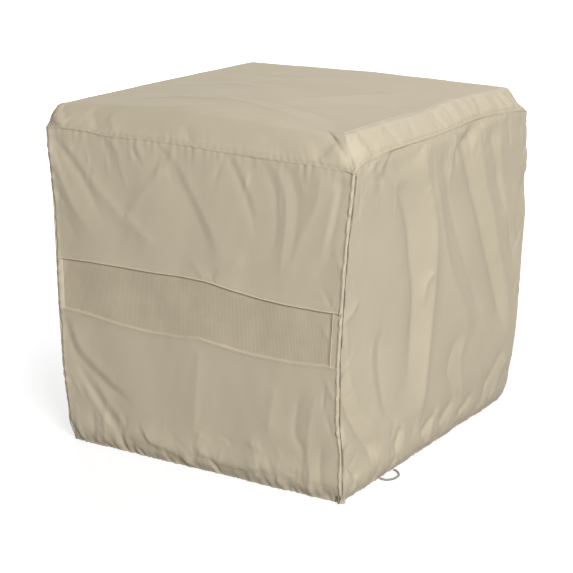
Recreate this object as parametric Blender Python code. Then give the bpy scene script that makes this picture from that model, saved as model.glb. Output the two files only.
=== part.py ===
"""Compact home standby generator with its fitted fabric weather cover, in metres, +Z up.

The cover's front, with the mesh vent, faces -Y. The origin is on the floor under the middle of the cover.
The unit stands on a pad: a sheet-metal enclosure with a hinged roof lid, around an air-cooled engine that turns
an alternator, with its battery, fuel regulator and control box. The cover hangs over it from the roof.
"""

import math

import bmesh
import bpy

# Clearances
GAP = 0.0003                  # between faces that touch
RUNNING = 0.0006              # around parts that turn in a cover or slot

# The unit's outer sizes, over the roof
UNIT_WIDTH = 0.600
UNIT_DEPTH = 0.600
UNIT_HEIGHT = 0.6567

# Cover
COVER_EASE = 0.0365           # from the roof's side to the cover's outer face
CLOTH = 0.003
CORNER_RADIUS = 0.016
CAP_DROP = 0.046              # from the top down to the cap's seam
CAP_INSET = 0.022             # how much narrower the top is than the walls
HEM_INSET = 0.021             # how far the elastic draws the hem in
TAPER_HEIGHT = 0.100          # where the walls start to draw in
HEM_HEIGHT = 0.028
HEM_LEAF = 0.0015
ELASTIC = 0.004               # diameter of the hem's elastic cord
VENT_LOW = 0.262
VENT_HIGH = 0.366
VENT_EDGE = 0.007             # binding above and below the mesh
VENT_END = 0.024              # binding at each end of the mesh
MESH_CLOTH = 0.0012
SEAM_TAPE = 0.0015
SEAM_TAPE_REACH = 0.009       # above and below the cap's seam
LOOP_CENTRE_Y = -0.165        # pull loop, under the right wall
LOOP_SPAN = 0.050
LOOP_REACH = 0.020
HOLE_AROUND_ELASTIC = 0.0004

# Enclosure
SHEET = 0.002
ROOF_OVERHANG = 0.0055        # from the panels' outer face to the roof's
ROOF_SKIRT = 0.0417
ROOF_EDGE = 0.004             # chamfer round the roof
ROOF_REAR_DEPTH = 0.074       # fixed rear strip of the roof
PANEL_LOW = 0.040
PANEL_ROOM = 0.0147           # from the panels' top edge up to the roof's underside
RETURN_FLANGE = 0.016         # along the front panel's top
SLOT_HEIGHT = 0.006
SLOT_PITCH = 0.018
PAD_HEIGHT = 0.030
PAD_MARGIN = 0.002            # the pad is this much smaller than the roof on each side
TRAY_HEIGHT = 0.045
TRAY_FLOOR = 0.0025
SEAL_WIDTH = 0.008
SEAL_REAR_MARGIN = 0.030

# Roof hinge
HINGE_BARREL = 0.003
HINGE_PIN = 0.0018
HINGE_DEPTH = 0.0052          # axis below the roof's top
HINGE_ROOM = 0.006            # from the axis to each roof edge
HINGE_LEAF = 0.0015
HINGE_LEAF_DEPTH = 0.0295
HINGE_HALF = 0.240
HINGE_KNUCKLE = 0.120         # half length of the lid's middle knuckle

# Roof latches
LATCH_X = 0.200
LATCH_DROP = 0.0267           # axis below the roof's top
LATCH_KNOB = 0.011
LATCH_KNOB_DEPTH = 0.009
LATCH_BARREL = 0.005
LATCH_CAM_LENGTH = 0.016
LATCH_CAM_WIDTH = 0.008
LATCH_CAM = 0.003
LATCH_NOTCH = 0.014

# Engine and alternator, on one axis along X
SHAFT_Y = 0.0
SHAFT_HEIGHT = 0.215
ISOLATOR_HEIGHT = 0.030
ISOLATOR_RADIUS = 0.018
ENGINE_LEFT = -0.195
ENGINE_LENGTH = 0.160
ENGINE_DEPTH = 0.230
ENGINE_TOP = 0.315
ENGINE_BEVEL = 0.012
JOURNAL = 0.019
FAN_JOURNAL = 0.014
ROTOR_JOURNAL = 0.016
CYLINDER_HALF = 0.072
CYLINDER_CORE = 0.054
CYLINDER_HEIGHT = 0.115
CYLINDER_Y = 0.020
FIN_COUNT = 8
VALVE_COVER_HEIGHT = 0.045
FAN_RADIUS = 0.095
FAN_BLADES = 12
FAN_WIDTH = 0.040
HOUSING_RADIUS = 0.115
HOUSING_WALL = 0.003
HOUSING_DEPTH = 0.078
HOUSING_INLET = 0.060
ROTOR_RADIUS = 0.0675
ROTOR_LENGTH = 0.130
STATOR_RADIUS = 0.105
STATOR_LENGTH = 0.220
AIR_GAP = 0.001
END_BELL = 0.046
FILTER_RADIUS = 0.035
FILTER_LENGTH = 0.070
OIL_CAP_RADIUS = 0.018
OIL_CAP_LENGTH = 0.025
STARTER_RADIUS = 0.032
STARTER_LENGTH = 0.110
AIR_BOX_HEIGHT = 0.120
AIR_BOX_DEPTH = 0.110
MUFFLER_LENGTH = 0.230
MUFFLER_HALF_DEPTH = 0.052
MUFFLER_HALF_HEIGHT = 0.060
EXHAUST_RADIUS = 0.013

# Fuel
REGULATOR_RADIUS = 0.055
REGULATOR_DEPTH = 0.0445
REGULATOR_X = -0.200
REGULATOR_HEIGHT = 0.200
SELECTOR_HUB = 0.010
SELECTOR_LENGTH = 0.042
INLET_RADIUS = 0.0107
INLET_HEIGHT = 0.100
INLET_PROUD = 0.006

# Battery
BATTERY_LENGTH = 0.200
BATTERY_DEPTH = 0.125
BATTERY_HEIGHT = 0.172
BATTERY_FROM_SIDE = 0.030
BATTERY_FROM_FRONT = 0.0145
POST_RADIUS = 0.0085
POST_HEIGHT = 0.014

# Controls
CONTROL_WIDTH = 0.250
CONTROL_DEPTH = 0.140
CONTROL_HEIGHT = 0.155
CONTROL_TOP = 0.585
CONTROL_FROM_SIDE = 0.022
BUTTON_RADIUS = 0.0075
BUTTON_TRAVEL = 0.0015
BUTTON_PROUD = 0.003
BUTTON_SEAT = 0.006
BUTTON_PITCH = 0.026
BUTTON_NAMES = ("auto", "manual", "off")
LENS_WIDTH = 0.078
LENS_DEPTH = 0.036
LENS_SEAT = 0.002
BREAKER_WIDTH = 0.036
BREAKER_DEPTH = 0.075
BREAKER_PROUD = 0.012
BREAKER_SEAT = 0.010
TOGGLE_WIDTH = 0.007
TOGGLE_HUB = 0.005
TOGGLE_LENGTH = 0.024
TOGGLE_TILT = 25.0            # degrees each side of upright
TOGGLE_SLOT = 0.030

# Places worked out from the sizes above
ROOF_X = UNIT_WIDTH / 2
ROOF_Y = UNIT_DEPTH / 2
PANEL_X = ROOF_X - ROOF_OVERHANG
PANEL_Y = ROOF_Y - ROOF_OVERHANG
INNER_X = PANEL_X - SHEET - GAP
INNER_Y = PANEL_Y - SHEET - GAP
ROOF_UNDER = UNIT_HEIGHT - SHEET
PANEL_HIGH = ROOF_UNDER - PANEL_ROOM
ROOF_LOW = UNIT_HEIGHT - ROOF_SKIRT
HINGE_Y = ROOF_Y - ROOF_REAR_DEPTH - HINGE_ROOM
HINGE_Z = UNIT_HEIGHT - HINGE_DEPTH
LATCH_Z = UNIT_HEIGHT - LATCH_DROP
LID_TO_CAM = ROOF_OVERHANG + SHEET + 0.001
COVER_X = ROOF_X + COVER_EASE
COVER_Y = ROOF_Y + COVER_EASE
COVER_TOP = UNIT_HEIGHT + GAP + CLOTH
SEAM_Z = COVER_TOP - CAP_DROP
HEM_X = COVER_X - HEM_INSET
HEM_Y = COVER_Y - HEM_INSET
CHANNEL = ELASTIC + 2 * GAP
TRAY_BOTTOM = PAD_HEIGHT + GAP
TRAY_TOP = TRAY_BOTTOM + TRAY_HEIGHT
FLOOR_Z = TRAY_BOTTOM + TRAY_FLOOR + GAP
ENGINE_LOW = FLOOR_Z + ISOLATOR_HEIGHT + GAP
ENGINE_RIGHT = ENGINE_LEFT + ENGINE_LENGTH
ENGINE_X = ENGINE_LEFT + ENGINE_LENGTH / 2
ENGINE_FRONT = SHAFT_Y - ENGINE_DEPTH / 2
ENGINE_REAR = SHAFT_Y + ENGINE_DEPTH / 2
STATOR_LEFT = ENGINE_RIGHT + GAP
STATOR_RIGHT = STATOR_LEFT + STATOR_LENGTH
BELL_LEFT = STATOR_RIGHT + GAP
BELL_RIGHT = BELL_LEFT + END_BELL
CYLINDER_LOW = ENGINE_TOP + GAP
CYLINDER_TOP = CYLINDER_LOW + CYLINDER_HEIGHT
CONTROL_RIGHT = INNER_X - CONTROL_FROM_SIDE
CONTROL_LEFT = CONTROL_RIGHT - CONTROL_WIDTH
CONTROL_FRONT = -INNER_Y
CONTROL_REAR = CONTROL_FRONT + CONTROL_DEPTH

FINISHES = {
    # name: (colour, roughness, metallic)
    "cover_cloth": ((0.48, 0.41, 0.29, 1.0), 0.60, 0.0),
    "mesh_cloth": ((0.38, 0.33, 0.23, 1.0), 0.75, 0.0),
    "elastic": ((0.30, 0.27, 0.20, 1.0), 0.70, 0.0),
    "enclosure_paint": ((0.55, 0.54, 0.50, 1.0), 0.40, 0.0),
    "pad_composite": ((0.30, 0.30, 0.29, 1.0), 0.90, 0.0),
    "rubber": ((0.03, 0.03, 0.03, 1.0), 0.80, 0.0),
    "black_paint": ((0.04, 0.04, 0.045, 1.0), 0.45, 0.0),
    "black_plastic": ((0.05, 0.05, 0.05, 1.0), 0.50, 0.0),
    "grey_plastic": ((0.25, 0.25, 0.26, 1.0), 0.50, 0.0),
    "cast_aluminium": ((0.62, 0.62, 0.63, 1.0), 0.50, 1.0),
    "steel": ((0.60, 0.60, 0.60, 1.0), 0.35, 1.0),
    "heated_steel": ((0.36, 0.33, 0.30, 1.0), 0.55, 1.0),
    "brass": ((0.75, 0.58, 0.28, 1.0), 0.35, 1.0),
    "filter_paint": ((0.65, 0.30, 0.05, 1.0), 0.35, 0.0),
    "lens": ((0.06, 0.09, 0.10, 1.0), 0.10, 0.0),
    "button_green": ((0.05, 0.30, 0.10, 1.0), 0.40, 0.0),
    "button_amber": ((0.65, 0.40, 0.05, 1.0), 0.40, 0.0),
    "button_red": ((0.50, 0.05, 0.04, 1.0), 0.40, 0.0),
}


# Building blocks

def clear_scene():
    for obj in list(bpy.data.objects):
        bpy.data.objects.remove(obj, do_unlink=True)


def finish(obj, finish_name):
    colour, roughness, metallic = FINISHES[finish_name]
    material = bpy.data.materials.new(obj.name)
    material.use_nodes = True
    shader = material.node_tree.nodes["Principled BSDF"]
    shader.inputs["Base Color"].default_value = colour
    shader.inputs["Roughness"].default_value = roughness
    shader.inputs["Metallic"].default_value = metallic
    obj.data.materials.append(material)
    return obj


def mesh_object(name, finish_name, bm, centre=(0.0, 0.0, 0.0), smooth=False):
    bmesh.ops.recalc_face_normals(bm, faces=bm.faces)
    mesh = bpy.data.meshes.new(name)
    bm.to_mesh(mesh)
    bm.free()
    if smooth:
        mesh.shade_smooth()
        mesh.set_sharp_from_angle(angle=math.radians(35))
    obj = bpy.data.objects.new(name, mesh)
    obj.location = centre
    bpy.context.scene.collection.objects.link(obj)
    if finish_name:
        finish(obj, finish_name)
    return obj


def along(axis, a, b, c):
    """A point whose third value runs along the named axis."""
    return {"Z": (a, b, c), "X": (c, a, b), "Y": (b, c, a)}[axis]


def skin(name, finish_name, loops, centre=(0.0, 0.0, 0.0), ring=False, smooth=False):
    """A closed solid through loops of equal length: capped at both ends, or joined end to end as a ring."""
    bm = bmesh.new()
    rows = [[bm.verts.new(point) for point in loop] for loop in loops]
    count = len(rows[0])
    pairs = list(zip(rows, rows[1:]))
    if ring:
        pairs.append((rows[-1], rows[0]))
    else:
        bm.faces.new(rows[0])
        bm.faces.new(rows[-1])
    for low, high in pairs:
        for i in range(count):
            j = (i + 1) % count
            bm.faces.new((low[i], low[j], high[j], high[i]))
    return mesh_object(name, finish_name, bm, centre, smooth)


def circle(radius, position, axis="Z", count=32):
    steps = [2 * math.pi * i / count for i in range(count)]
    return [along(axis, radius * math.cos(t), radius * math.sin(t), position) for t in steps]


def turned(name, finish_name, outline, centre, axis, ring=False, count=32):
    """A turned piece: its outline is (radius, place along the axis from the centre)."""
    loops = [circle(radius, position, axis, count) for radius, position in outline]
    return skin(name, finish_name, loops, centre, ring, smooth=True)


def rounded_rectangle(half_a, half_b, radius, position, axis="Z", steps=3):
    corners = ((1, 1, 0), (-1, 1, 90), (-1, -1, 180), (1, -1, 270))
    points = []
    for sign_a, sign_b, start in corners:
        for i in range(steps + 1):
            turn = math.radians(start + 90 * i / steps)
            a = sign_a * (half_a - radius) + radius * math.cos(turn)
            b = sign_b * (half_b - radius) + radius * math.sin(turn)
            points.append(along(axis, a, b, position))
    return points


def block(name, finish_name, low, high, bevel=0.0, origin=None):
    """A box between two corners, with its edges rounded, and its origin at its middle unless given."""
    origin = origin or tuple((a + b) / 2 for a, b in zip(low, high))
    bm = bmesh.new()
    bmesh.ops.create_cube(bm, size=1.0)
    for vert in bm.verts:
        for k in range(3):
            middle = (low[k] + high[k]) / 2
            vert.co[k] = middle - origin[k] + vert.co[k] * (high[k] - low[k])
    if bevel:
        bmesh.ops.bevel(bm, geom=bm.edges[:], offset=bevel, segments=2, affect="EDGES", profile=0.5)
    return mesh_object(name, finish_name, bm, origin, smooth=bevel > 0)


def rod(name, finish_name, centre, axis, radius, start, end, count=24):
    return turned(name, finish_name, [(radius, start), (radius, end)], centre, axis, count=count)


def tool(obj):
    """Marks a shape that only cuts or joins others."""
    obj.hide_render = True
    obj.display_type = "WIRE"
    return obj


def combine(obj, operation, *tools):
    for shape in tools:
        modifier = obj.modifiers.new(shape.name, "BOOLEAN")
        modifier.operation = operation
        modifier.object = tool(shape)
    return obj


def plate(name, finish_name, columns, rows, holes, thickness, distance, facing):
    """A flat sheet with rectangular holes. Columns and rows are its break lines, and holes are the cells left out.

    Its outer face stands at the distance from the middle, on the side named by facing, such as -Y.
    """
    sign = -1.0 if facing[0] == "-" else 1.0
    axis = facing[1]
    bm = bmesh.new()
    verts = {}

    def vert(i, j, side):
        if (i, j, side) not in verts:
            depth = sign * (distance - side * thickness)
            across, up = columns[i], rows[j]
            point = (across, depth, up) if axis == "Y" else (depth, across, up)
            verts[i, j, side] = bm.verts.new(point)
        return verts[i, j, side]

    def solid(i, j):
        inside = 0 <= i < len(columns) - 1 and 0 <= j < len(rows) - 1
        return inside and (i, j) not in holes

    for i in range(len(columns) - 1):
        for j in range(len(rows) - 1):
            if not solid(i, j):
                continue
            for side in (0, 1):
                square = ((i, j), (i + 1, j), (i + 1, j + 1), (i, j + 1))
                bm.faces.new([vert(a, b, side) for a, b in square])
            edges = (
                ((i, j), (i + 1, j), (i, j - 1)),
                ((i + 1, j), (i + 1, j + 1), (i + 1, j)),
                ((i + 1, j + 1), (i, j + 1), (i, j + 1)),
                ((i, j + 1), (i, j), (i - 1, j)),
            )
            for start, end, neighbour in edges:
                if not solid(*neighbour):
                    bm.faces.new((vert(*start, 0), vert(*end, 0), vert(*end, 1), vert(*start, 1)))
    return mesh_object(name, finish_name, bm)


def louvred_panel(name, facing, half_span, distance, slot_halves, first_slot, slot_count):
    """An enclosure panel with two columns of air slots on each side of its middle line."""
    inner, outer = slot_halves
    columns = [-half_span, -outer, -inner, inner, outer, half_span]
    rows = [PANEL_LOW]
    for i in range(slot_count):
        low = first_slot + i * SLOT_PITCH
        rows += [low, low + SLOT_HEIGHT]
    rows.append(PANEL_HIGH)
    holes = {(i, 2 * j + 1) for i in (1, 3) for j in range(slot_count)}
    return plate(name, "enclosure_paint", columns, rows, holes, SHEET, distance, facing)


def smooth_route(points, spacing):
    """Points a spacing apart on a smooth curve through the given ones, with its first and last stretch straight."""
    route = [list(points[0])]
    for p0, p1, p2, p3 in zip(points, points[1:], points[2:], points[3:]):
        steps = max(1, round(math.dist(p1, p2) / spacing))
        for i in range(steps):
            t = i / steps
            route.append([
                0.5 * (2 * b + (c - a) * t + (2 * a - 5 * b + 4 * c - d) * t**2 + (3 * b - a - 3 * c + d) * t**3)
                for a, b, c, d in zip(p0, p1, p2, p3)
            ])
    return route + [list(points[-2]), list(points[-1])]


def tube(name, finish_name, route, radius, resolution=2, ring=False):
    curve = bpy.data.curves.new(name, "CURVE")
    curve.dimensions = "3D"
    curve.bevel_depth = radius
    curve.bevel_resolution = resolution
    curve.use_fill_caps = not ring
    spline = curve.splines.new("POLY")
    spline.points.add(len(route) - 1)
    for point, place in zip(spline.points, route):
        point.co = (*place, 1.0)
    spline.use_cyclic_u = ring
    obj = bpy.data.objects.new(name, curve)
    bpy.context.scene.collection.objects.link(obj)
    return finish(obj, finish_name)


# Cover

def cover_levels(low, high):
    """Heights between two limits where the walls bend, each as (z, half width, half depth, set-back in the hem)."""
    channel_set_back = HEM_LEAF + (CHANNEL - CLOTH) / 2
    levels = [
        (HEM_LEAF + CHANNEL + GAP, HEM_X, HEM_Y, channel_set_back),
        (HEM_HEIGHT + GAP, HEM_X, HEM_Y, channel_set_back),
        (TAPER_HEIGHT, COVER_X, COVER_Y, 0.0),
    ]
    kept = [level for level in levels if low < level[0] < high]
    if low <= levels[0][0]:
        kept.insert(0, levels[0])
    else:
        kept.insert(0, (low, COVER_X, COVER_Y, 0.0))
    kept.append((high, COVER_X, COVER_Y, 0.0))
    unique = []
    for level in kept:
        if not unique or level[0] > unique[-1][0]:
            unique.append(level)
    return unique


def wall_panel(name, facing, low, high):
    """One wall of the cover between its corner seams, drawn in at the hem."""
    sign = -1.0 if facing[0] == "-" else 1.0
    loops = []
    for z, half_x, half_y, set_back in cover_levels(low, high):
        out, span = (half_y, half_x) if facing[1] == "Y" else (half_x, half_y)
        out = out - set_back
        span = span - CORNER_RADIUS - GAP / 2
        loop = []
        for across, depth in ((-span, out), (span, out), (span, out - CLOTH), (-span, out - CLOTH)):
            loop.append((across, sign * depth, z) if facing[1] == "Y" else (sign * depth, across, z))
        loops.append(loop)
    return skin(name, "cover_cloth", loops)


def corner_seam(name, side_x, side_y):
    """The rounded strip that closes two walls at a corner."""
    steps = 4
    loops = []
    for z, half_x, half_y, set_back in cover_levels(0.0, SEAM_Z - GAP):
        centre_x = half_x - CORNER_RADIUS
        centre_y = half_y - CORNER_RADIUS
        turns = [math.radians(90 * i / steps) for i in range(steps + 1)]
        loop = []
        for radius, order in ((CORNER_RADIUS - set_back, turns), (CORNER_RADIUS - set_back - CLOTH, turns[::-1])):
            for turn in order:
                x = centre_x + radius * math.cos(turn)
                y = centre_y + radius * math.sin(turn)
                loop.append((side_x * x, side_y * y, z))
        loops.append(loop)
    return skin(name, "cover_cloth", loops)


def cap_inset(z):
    return CAP_INSET * max(0.0, z - SEAM_Z) / CAP_DROP


def cover_loop(inset, z):
    """Outline of the cover at a height, set in from its outer face, following the cap's slope above the seam."""
    half_x = COVER_X - inset - cap_inset(z)
    half_y = COVER_Y - inset - cap_inset(z)
    return rounded_rectangle(half_x, half_y, CORNER_RADIUS - inset, z)


def cover_cap():
    outer = [cover_loop(0.0, COVER_TOP), cover_loop(0.0, SEAM_Z)]
    inner = [cover_loop(CLOTH, SEAM_Z), cover_loop(CLOTH, COVER_TOP - CLOTH)]
    skin("cover_cap", "cover_cloth", outer + inner)


def cap_seam_tape():
    heights = (SEAM_Z - SEAM_TAPE_REACH, SEAM_Z, SEAM_Z + SEAM_TAPE_REACH)
    inset = CLOTH + 2 * GAP
    outer = [cover_loop(inset, z) for z in heights]
    inner = [cover_loop(inset + SEAM_TAPE, z) for z in heights[::-1]]
    skin("cap_seam_tape", "cover_cloth", outer + inner, ring=True)


def hem_loop(inset, z):
    return rounded_rectangle(HEM_X - inset, HEM_Y - inset, CORNER_RADIUS - inset, z)


def hem_casing():
    inner = HEM_LEAF + CHANNEL
    loops = [
        hem_loop(0.0, 0.0),
        hem_loop(0.0, HEM_HEIGHT),
        hem_loop(HEM_LEAF, HEM_HEIGHT),
        hem_loop(HEM_LEAF, HEM_LEAF),
        hem_loop(inner, HEM_LEAF),
        hem_loop(inner, HEM_HEIGHT),
        hem_loop(inner + HEM_LEAF, HEM_HEIGHT),
        hem_loop(inner + HEM_LEAF, 0.0),
    ]
    casing = skin("hem_casing", "cover_cloth", loops, ring=True)
    for side, y in loop_ends().items():
        place = (HEM_X, y, elastic_height())
        radius = ELASTIC / 2 + HOLE_AROUND_ELASTIC
        hole = rod("hem_eyelet_" + side, None, place, "X", radius, -HEM_LEAF - GAP, HEM_LEAF, 16)
        combine(casing, "DIFFERENCE", hole)
    return casing


def elastic_height():
    return HEM_LEAF + GAP + ELASTIC / 2


def loop_ends():
    return {"front": LOOP_CENTRE_Y - LOOP_SPAN / 2, "rear": LOOP_CENTRE_Y + LOOP_SPAN / 2}


def hem_elastic():
    """The elastic cord's run inside the hem casing, all the way round."""
    inset = HEM_LEAF + CHANNEL / 2
    route = rounded_rectangle(HEM_X - inset, HEM_Y - inset, CORNER_RADIUS - inset, elastic_height())
    return tube("hem_elastic", "elastic", route, ELASTIC / 2, ring=True)


def pull_loop():
    """The bight of elastic that comes out of the hem under the right wall and lies on the ground."""
    start = HEM_X - HEM_LEAF
    half = LOOP_SPAN / 2
    rest = ELASTIC / 2 + GAP
    shape = [
        (0.0, -half, elastic_height()),
        (0.004, -half, elastic_height()),
        (0.011, -half * 0.86, rest),
        (LOOP_REACH * 0.95, -half * 0.42, rest),
        (LOOP_REACH, 0.0, rest),
        (LOOP_REACH * 0.95, half * 0.42, rest),
        (0.011, half * 0.86, rest),
        (0.004, half, elastic_height()),
        (0.0, half, elastic_height()),
    ]
    points = [(start + out, LOOP_CENTRE_Y + across, z) for out, across, z in shape]
    return tube("pull_loop", "elastic", smooth_route(points, ELASTIC), ELASTIC / 2)


def front_vent():
    half = COVER_X - CORNER_RADIUS - GAP / 2
    columns = [-half, VENT_END - half, half - VENT_END, half]
    rows = [VENT_LOW, VENT_LOW + VENT_EDGE, VENT_HIGH - VENT_EDGE, VENT_HIGH]
    plate("front_vent_binding", "cover_cloth", columns, rows, {(1, 1)}, CLOTH, COVER_Y, "-Y")
    inside = [columns[1] + GAP, columns[2] - GAP]
    heights = [rows[1] + GAP, rows[2] - GAP]
    set_back = (CLOTH - MESH_CLOTH) / 2
    plate("front_vent_mesh", "mesh_cloth", inside, heights, set(), MESH_CLOTH, COVER_Y - set_back, "-Y")


def cover():
    cover_cap()
    cap_seam_tape()
    top = SEAM_Z - GAP
    wall_panel("front_upper_panel", "-Y", VENT_HIGH + GAP, top)
    front_vent()
    wall_panel("front_lower_panel", "-Y", 0.0, VENT_LOW - GAP)
    wall_panel("rear_wall", "+Y", 0.0, top)
    wall_panel("right_wall", "+X", 0.0, top)
    wall_panel("left_wall", "-X", 0.0, top)
    for side_y, end in ((-1, "front"), (1, "rear")):
        for side_x, side in ((-1, "left"), (1, "right")):
            corner_seam(f"{end}_{side}_corner_seam", side_x, side_y)
    hem_casing()
    hem_elastic()
    pull_loop()


# Enclosure

def mounting_pad():
    half_x, half_y = ROOF_X - PAD_MARGIN, ROOF_Y - PAD_MARGIN
    bevel = 0.004
    loops = [
        rounded_rectangle(half_x, half_y, 0.012, 0.0),
        rounded_rectangle(half_x, half_y, 0.012, PAD_HEIGHT - bevel),
        rounded_rectangle(half_x - bevel, half_y - bevel, 0.012, PAD_HEIGHT),
    ]
    skin("mounting_pad", "pad_composite", loops)


def base_tray():
    def level(inset, z):
        return rounded_rectangle(INNER_X - inset, INNER_Y - inset, 0.006 - inset, z)

    loops = [
        level(0.0, TRAY_BOTTOM),
        level(0.0, TRAY_TOP),
        level(TRAY_FLOOR, TRAY_TOP),
        level(TRAY_FLOOR, TRAY_BOTTOM + TRAY_FLOOR),
    ]
    skin("base_tray", "black_paint", loops)


def latch_notches():
    """Cutters for the two notches that the latches rise through, in the front panel and its top flange."""
    cutters = []
    for side, x in (("left", -LATCH_X), ("right", LATCH_X)):
        low = (x - LATCH_NOTCH / 2, -ROOF_Y, LATCH_Z - LATCH_NOTCH / 2)
        high = (x + LATCH_NOTCH / 2, -PANEL_Y + RETURN_FLANGE + SHEET, UNIT_HEIGHT)
        cutters.append(block("latch_notch_" + side, None, low, high))
    return cutters


def panels():
    middle, outer = 0.020, 0.235
    side_span = INNER_Y
    louvred_panel("left_panel", "-X", side_span, PANEL_X, (middle, outer), 0.110, 8)
    louvred_panel("right_panel", "+X", side_span, PANEL_X, (middle, outer), 0.300, 8)
    rear = louvred_panel("rear_panel", "+Y", PANEL_X, PANEL_Y, (middle, outer), 0.420, 6)
    inlet = (REGULATOR_X, PANEL_Y - SHEET / 2, INLET_HEIGHT)
    hole = rod("inlet_hole", None, inlet, "Y", INLET_RADIUS + GAP, -2 * SHEET, 2 * SHEET)
    combine(rear, "DIFFERENCE", hole)
    front = plate("front_panel", "enclosure_paint", [-PANEL_X, PANEL_X], [PANEL_LOW, PANEL_HIGH], set(), SHEET,
                  PANEL_Y, "-Y")
    flange = block("front_flange", None, (-INNER_X, -PANEL_Y, PANEL_HIGH - SHEET),
                   (INNER_X, -PANEL_Y + RETURN_FLANGE, PANEL_HIGH))
    combine(front, "UNION", flange)
    combine(front, "DIFFERENCE", *latch_notches())


def roof_shell(name):
    def level(inset, z):
        return rounded_rectangle(ROOF_X - inset, ROOF_Y - inset, 0.010 - inset, z)

    return skin(name, "enclosure_paint", [
        level(ROOF_EDGE, UNIT_HEIGHT),
        level(0.0, UNIT_HEIGHT - ROOF_EDGE),
        level(0.0, ROOF_LOW),
        level(SHEET, ROOF_LOW),
        level(SHEET, UNIT_HEIGHT - ROOF_EDGE - SHEET / 2),
        level(ROOF_EDGE + SHEET / 2, ROOF_UNDER),
    ])


def roof():
    """One pressed roof shape, divided at the hinge into the lid and a fixed rear strip."""
    beyond = ROOF_X + COVER_EASE
    lid = roof_shell("lid")
    lid_end = block("lid_end", None, (-beyond, HINGE_Y - HINGE_ROOM, 0.5 * UNIT_HEIGHT),
                    (beyond, ROOF_Y + COVER_EASE, UNIT_HEIGHT + COVER_EASE))
    combine(lid, "DIFFERENCE", lid_end)
    for side, x in (("left", -LATCH_X), ("right", LATCH_X)):
        place = (x, -ROOF_Y, LATCH_Z)
        hole = rod("latch_hole_" + side, None, place, "Y", LATCH_BARREL + GAP, -SHEET, 2 * SHEET)
        combine(lid, "DIFFERENCE", hole)
    rear = roof_shell("roof_rear_strip")
    rear_end = block("rear_strip_end", None, (-beyond, -ROOF_Y - COVER_EASE, 0.5 * UNIT_HEIGHT),
                     (beyond, HINGE_Y + HINGE_ROOM, UNIT_HEIGHT + COVER_EASE))
    combine(rear, "DIFFERENCE", rear_end)


def hinge():
    centre = (0.0, HINGE_Y, HINGE_Z)
    leaf_top = ROOF_UNDER - GAP
    leaf_low = leaf_top - HINGE_LEAF
    bore = rod("hinge_bore", None, centre, "X", HINGE_PIN + GAP, -1.1 * HINGE_HALF, 1.1 * HINGE_HALF)
    # The fixed leaf: a knuckle and a tab at each end, joined by a strip behind
    strip_front = HINGE_Y + 0.5 * HINGE_LEAF_DEPTH
    fixed = block("hinge_fixed_leaf", "steel", (-HINGE_HALF, strip_front, leaf_low),
                  (HINGE_HALF, HINGE_Y + HINGE_LEAF_DEPTH, leaf_top))
    for side, start, end in (("left", -HINGE_HALF, -HINGE_KNUCKLE), ("right", HINGE_KNUCKLE, HINGE_HALF)):
        tab = block(f"hinge_tab_{side}", None, (start, HINGE_Y, leaf_low), (end, strip_front + HINGE_LEAF, leaf_top))
        knuckle = rod(f"hinge_knuckle_{side}", None, centre, "X", HINGE_BARREL, start, end)
        combine(fixed, "UNION", tab, knuckle)
    combine(fixed, "DIFFERENCE", bore)
    # The lid's leaf: one long knuckle between them
    reach = HINGE_KNUCKLE - RUNNING
    moving = block("hinge_lid_leaf", "steel", (-reach, HINGE_Y - HINGE_LEAF_DEPTH, leaf_low),
                   (reach, HINGE_Y, leaf_top))
    combine(moving, "UNION", rod("hinge_knuckle_lid", None, centre, "X", HINGE_BARREL, -reach, reach))
    combine(moving, "DIFFERENCE", bore)
    rod("hinge_pin", "steel", centre, "X", HINGE_PIN, -HINGE_HALF, HINGE_HALF, 16)


def lid_seal():
    """Rubber seal glued under the lid, on the panels' top edges."""
    rear = HINGE_Y - SEAL_REAR_MARGIN - HINGE_ROOM
    middle = (rear - PANEL_Y) / 2
    half_y = (rear + PANEL_Y) / 2
    low, high = PANEL_HIGH + GAP, ROOF_UNDER - GAP

    def level(inset, z):
        return rounded_rectangle(PANEL_X - inset, half_y - inset, 0.010 - inset, z)

    loops = [level(0.0, low), level(0.0, high), level(SEAL_WIDTH, high), level(SEAL_WIDTH, low)]
    skin("lid_seal", "rubber", loops, (0.0, middle, 0.0), ring=True)


def latch(name, x):
    """A quarter-turn latch, shown released with its cam hanging down. Its origin is on its axis, on the lid's face."""
    centre = (x, -ROOF_Y, LATCH_Z)
    cam_rear = LID_TO_CAM + LATCH_CAM
    knob = turned(name, "black_plastic", [
        (LATCH_KNOB * 0.9, -GAP - LATCH_KNOB_DEPTH),
        (LATCH_KNOB, -GAP - LATCH_KNOB_DEPTH * 0.8),
        (LATCH_KNOB, -GAP),
    ], centre, "Y")
    barrel = rod(name + "_barrel", None, centre, "Y", LATCH_BARREL, -0.5 * LATCH_KNOB_DEPTH, cam_rear)
    half = LATCH_CAM_WIDTH / 2
    cam = block(name + "_cam", None, (x - half, -ROOF_Y + LID_TO_CAM, LATCH_Z - LATCH_CAM_LENGTH),
                (x + half, -ROOF_Y + cam_rear, LATCH_Z))
    grip_half = 0.18 * LATCH_KNOB
    grip_front = -ROOF_Y - GAP - LATCH_KNOB_DEPTH
    grip = block(name + "_grip", None,
                 (x - grip_half, grip_front - 0.3 * LATCH_KNOB_DEPTH, LATCH_Z - 0.75 * LATCH_KNOB),
                 (x + grip_half, grip_front + 0.2 * LATCH_KNOB_DEPTH, LATCH_Z + 0.75 * LATCH_KNOB))
    combine(knob, "UNION", barrel, cam, grip)


def enclosure():
    mounting_pad()
    base_tray()
    panels()
    roof()
    hinge()
    lid_seal()
    latch("latch_left", -LATCH_X)
    latch("latch_right", LATCH_X)


# Engine and alternator

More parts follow.
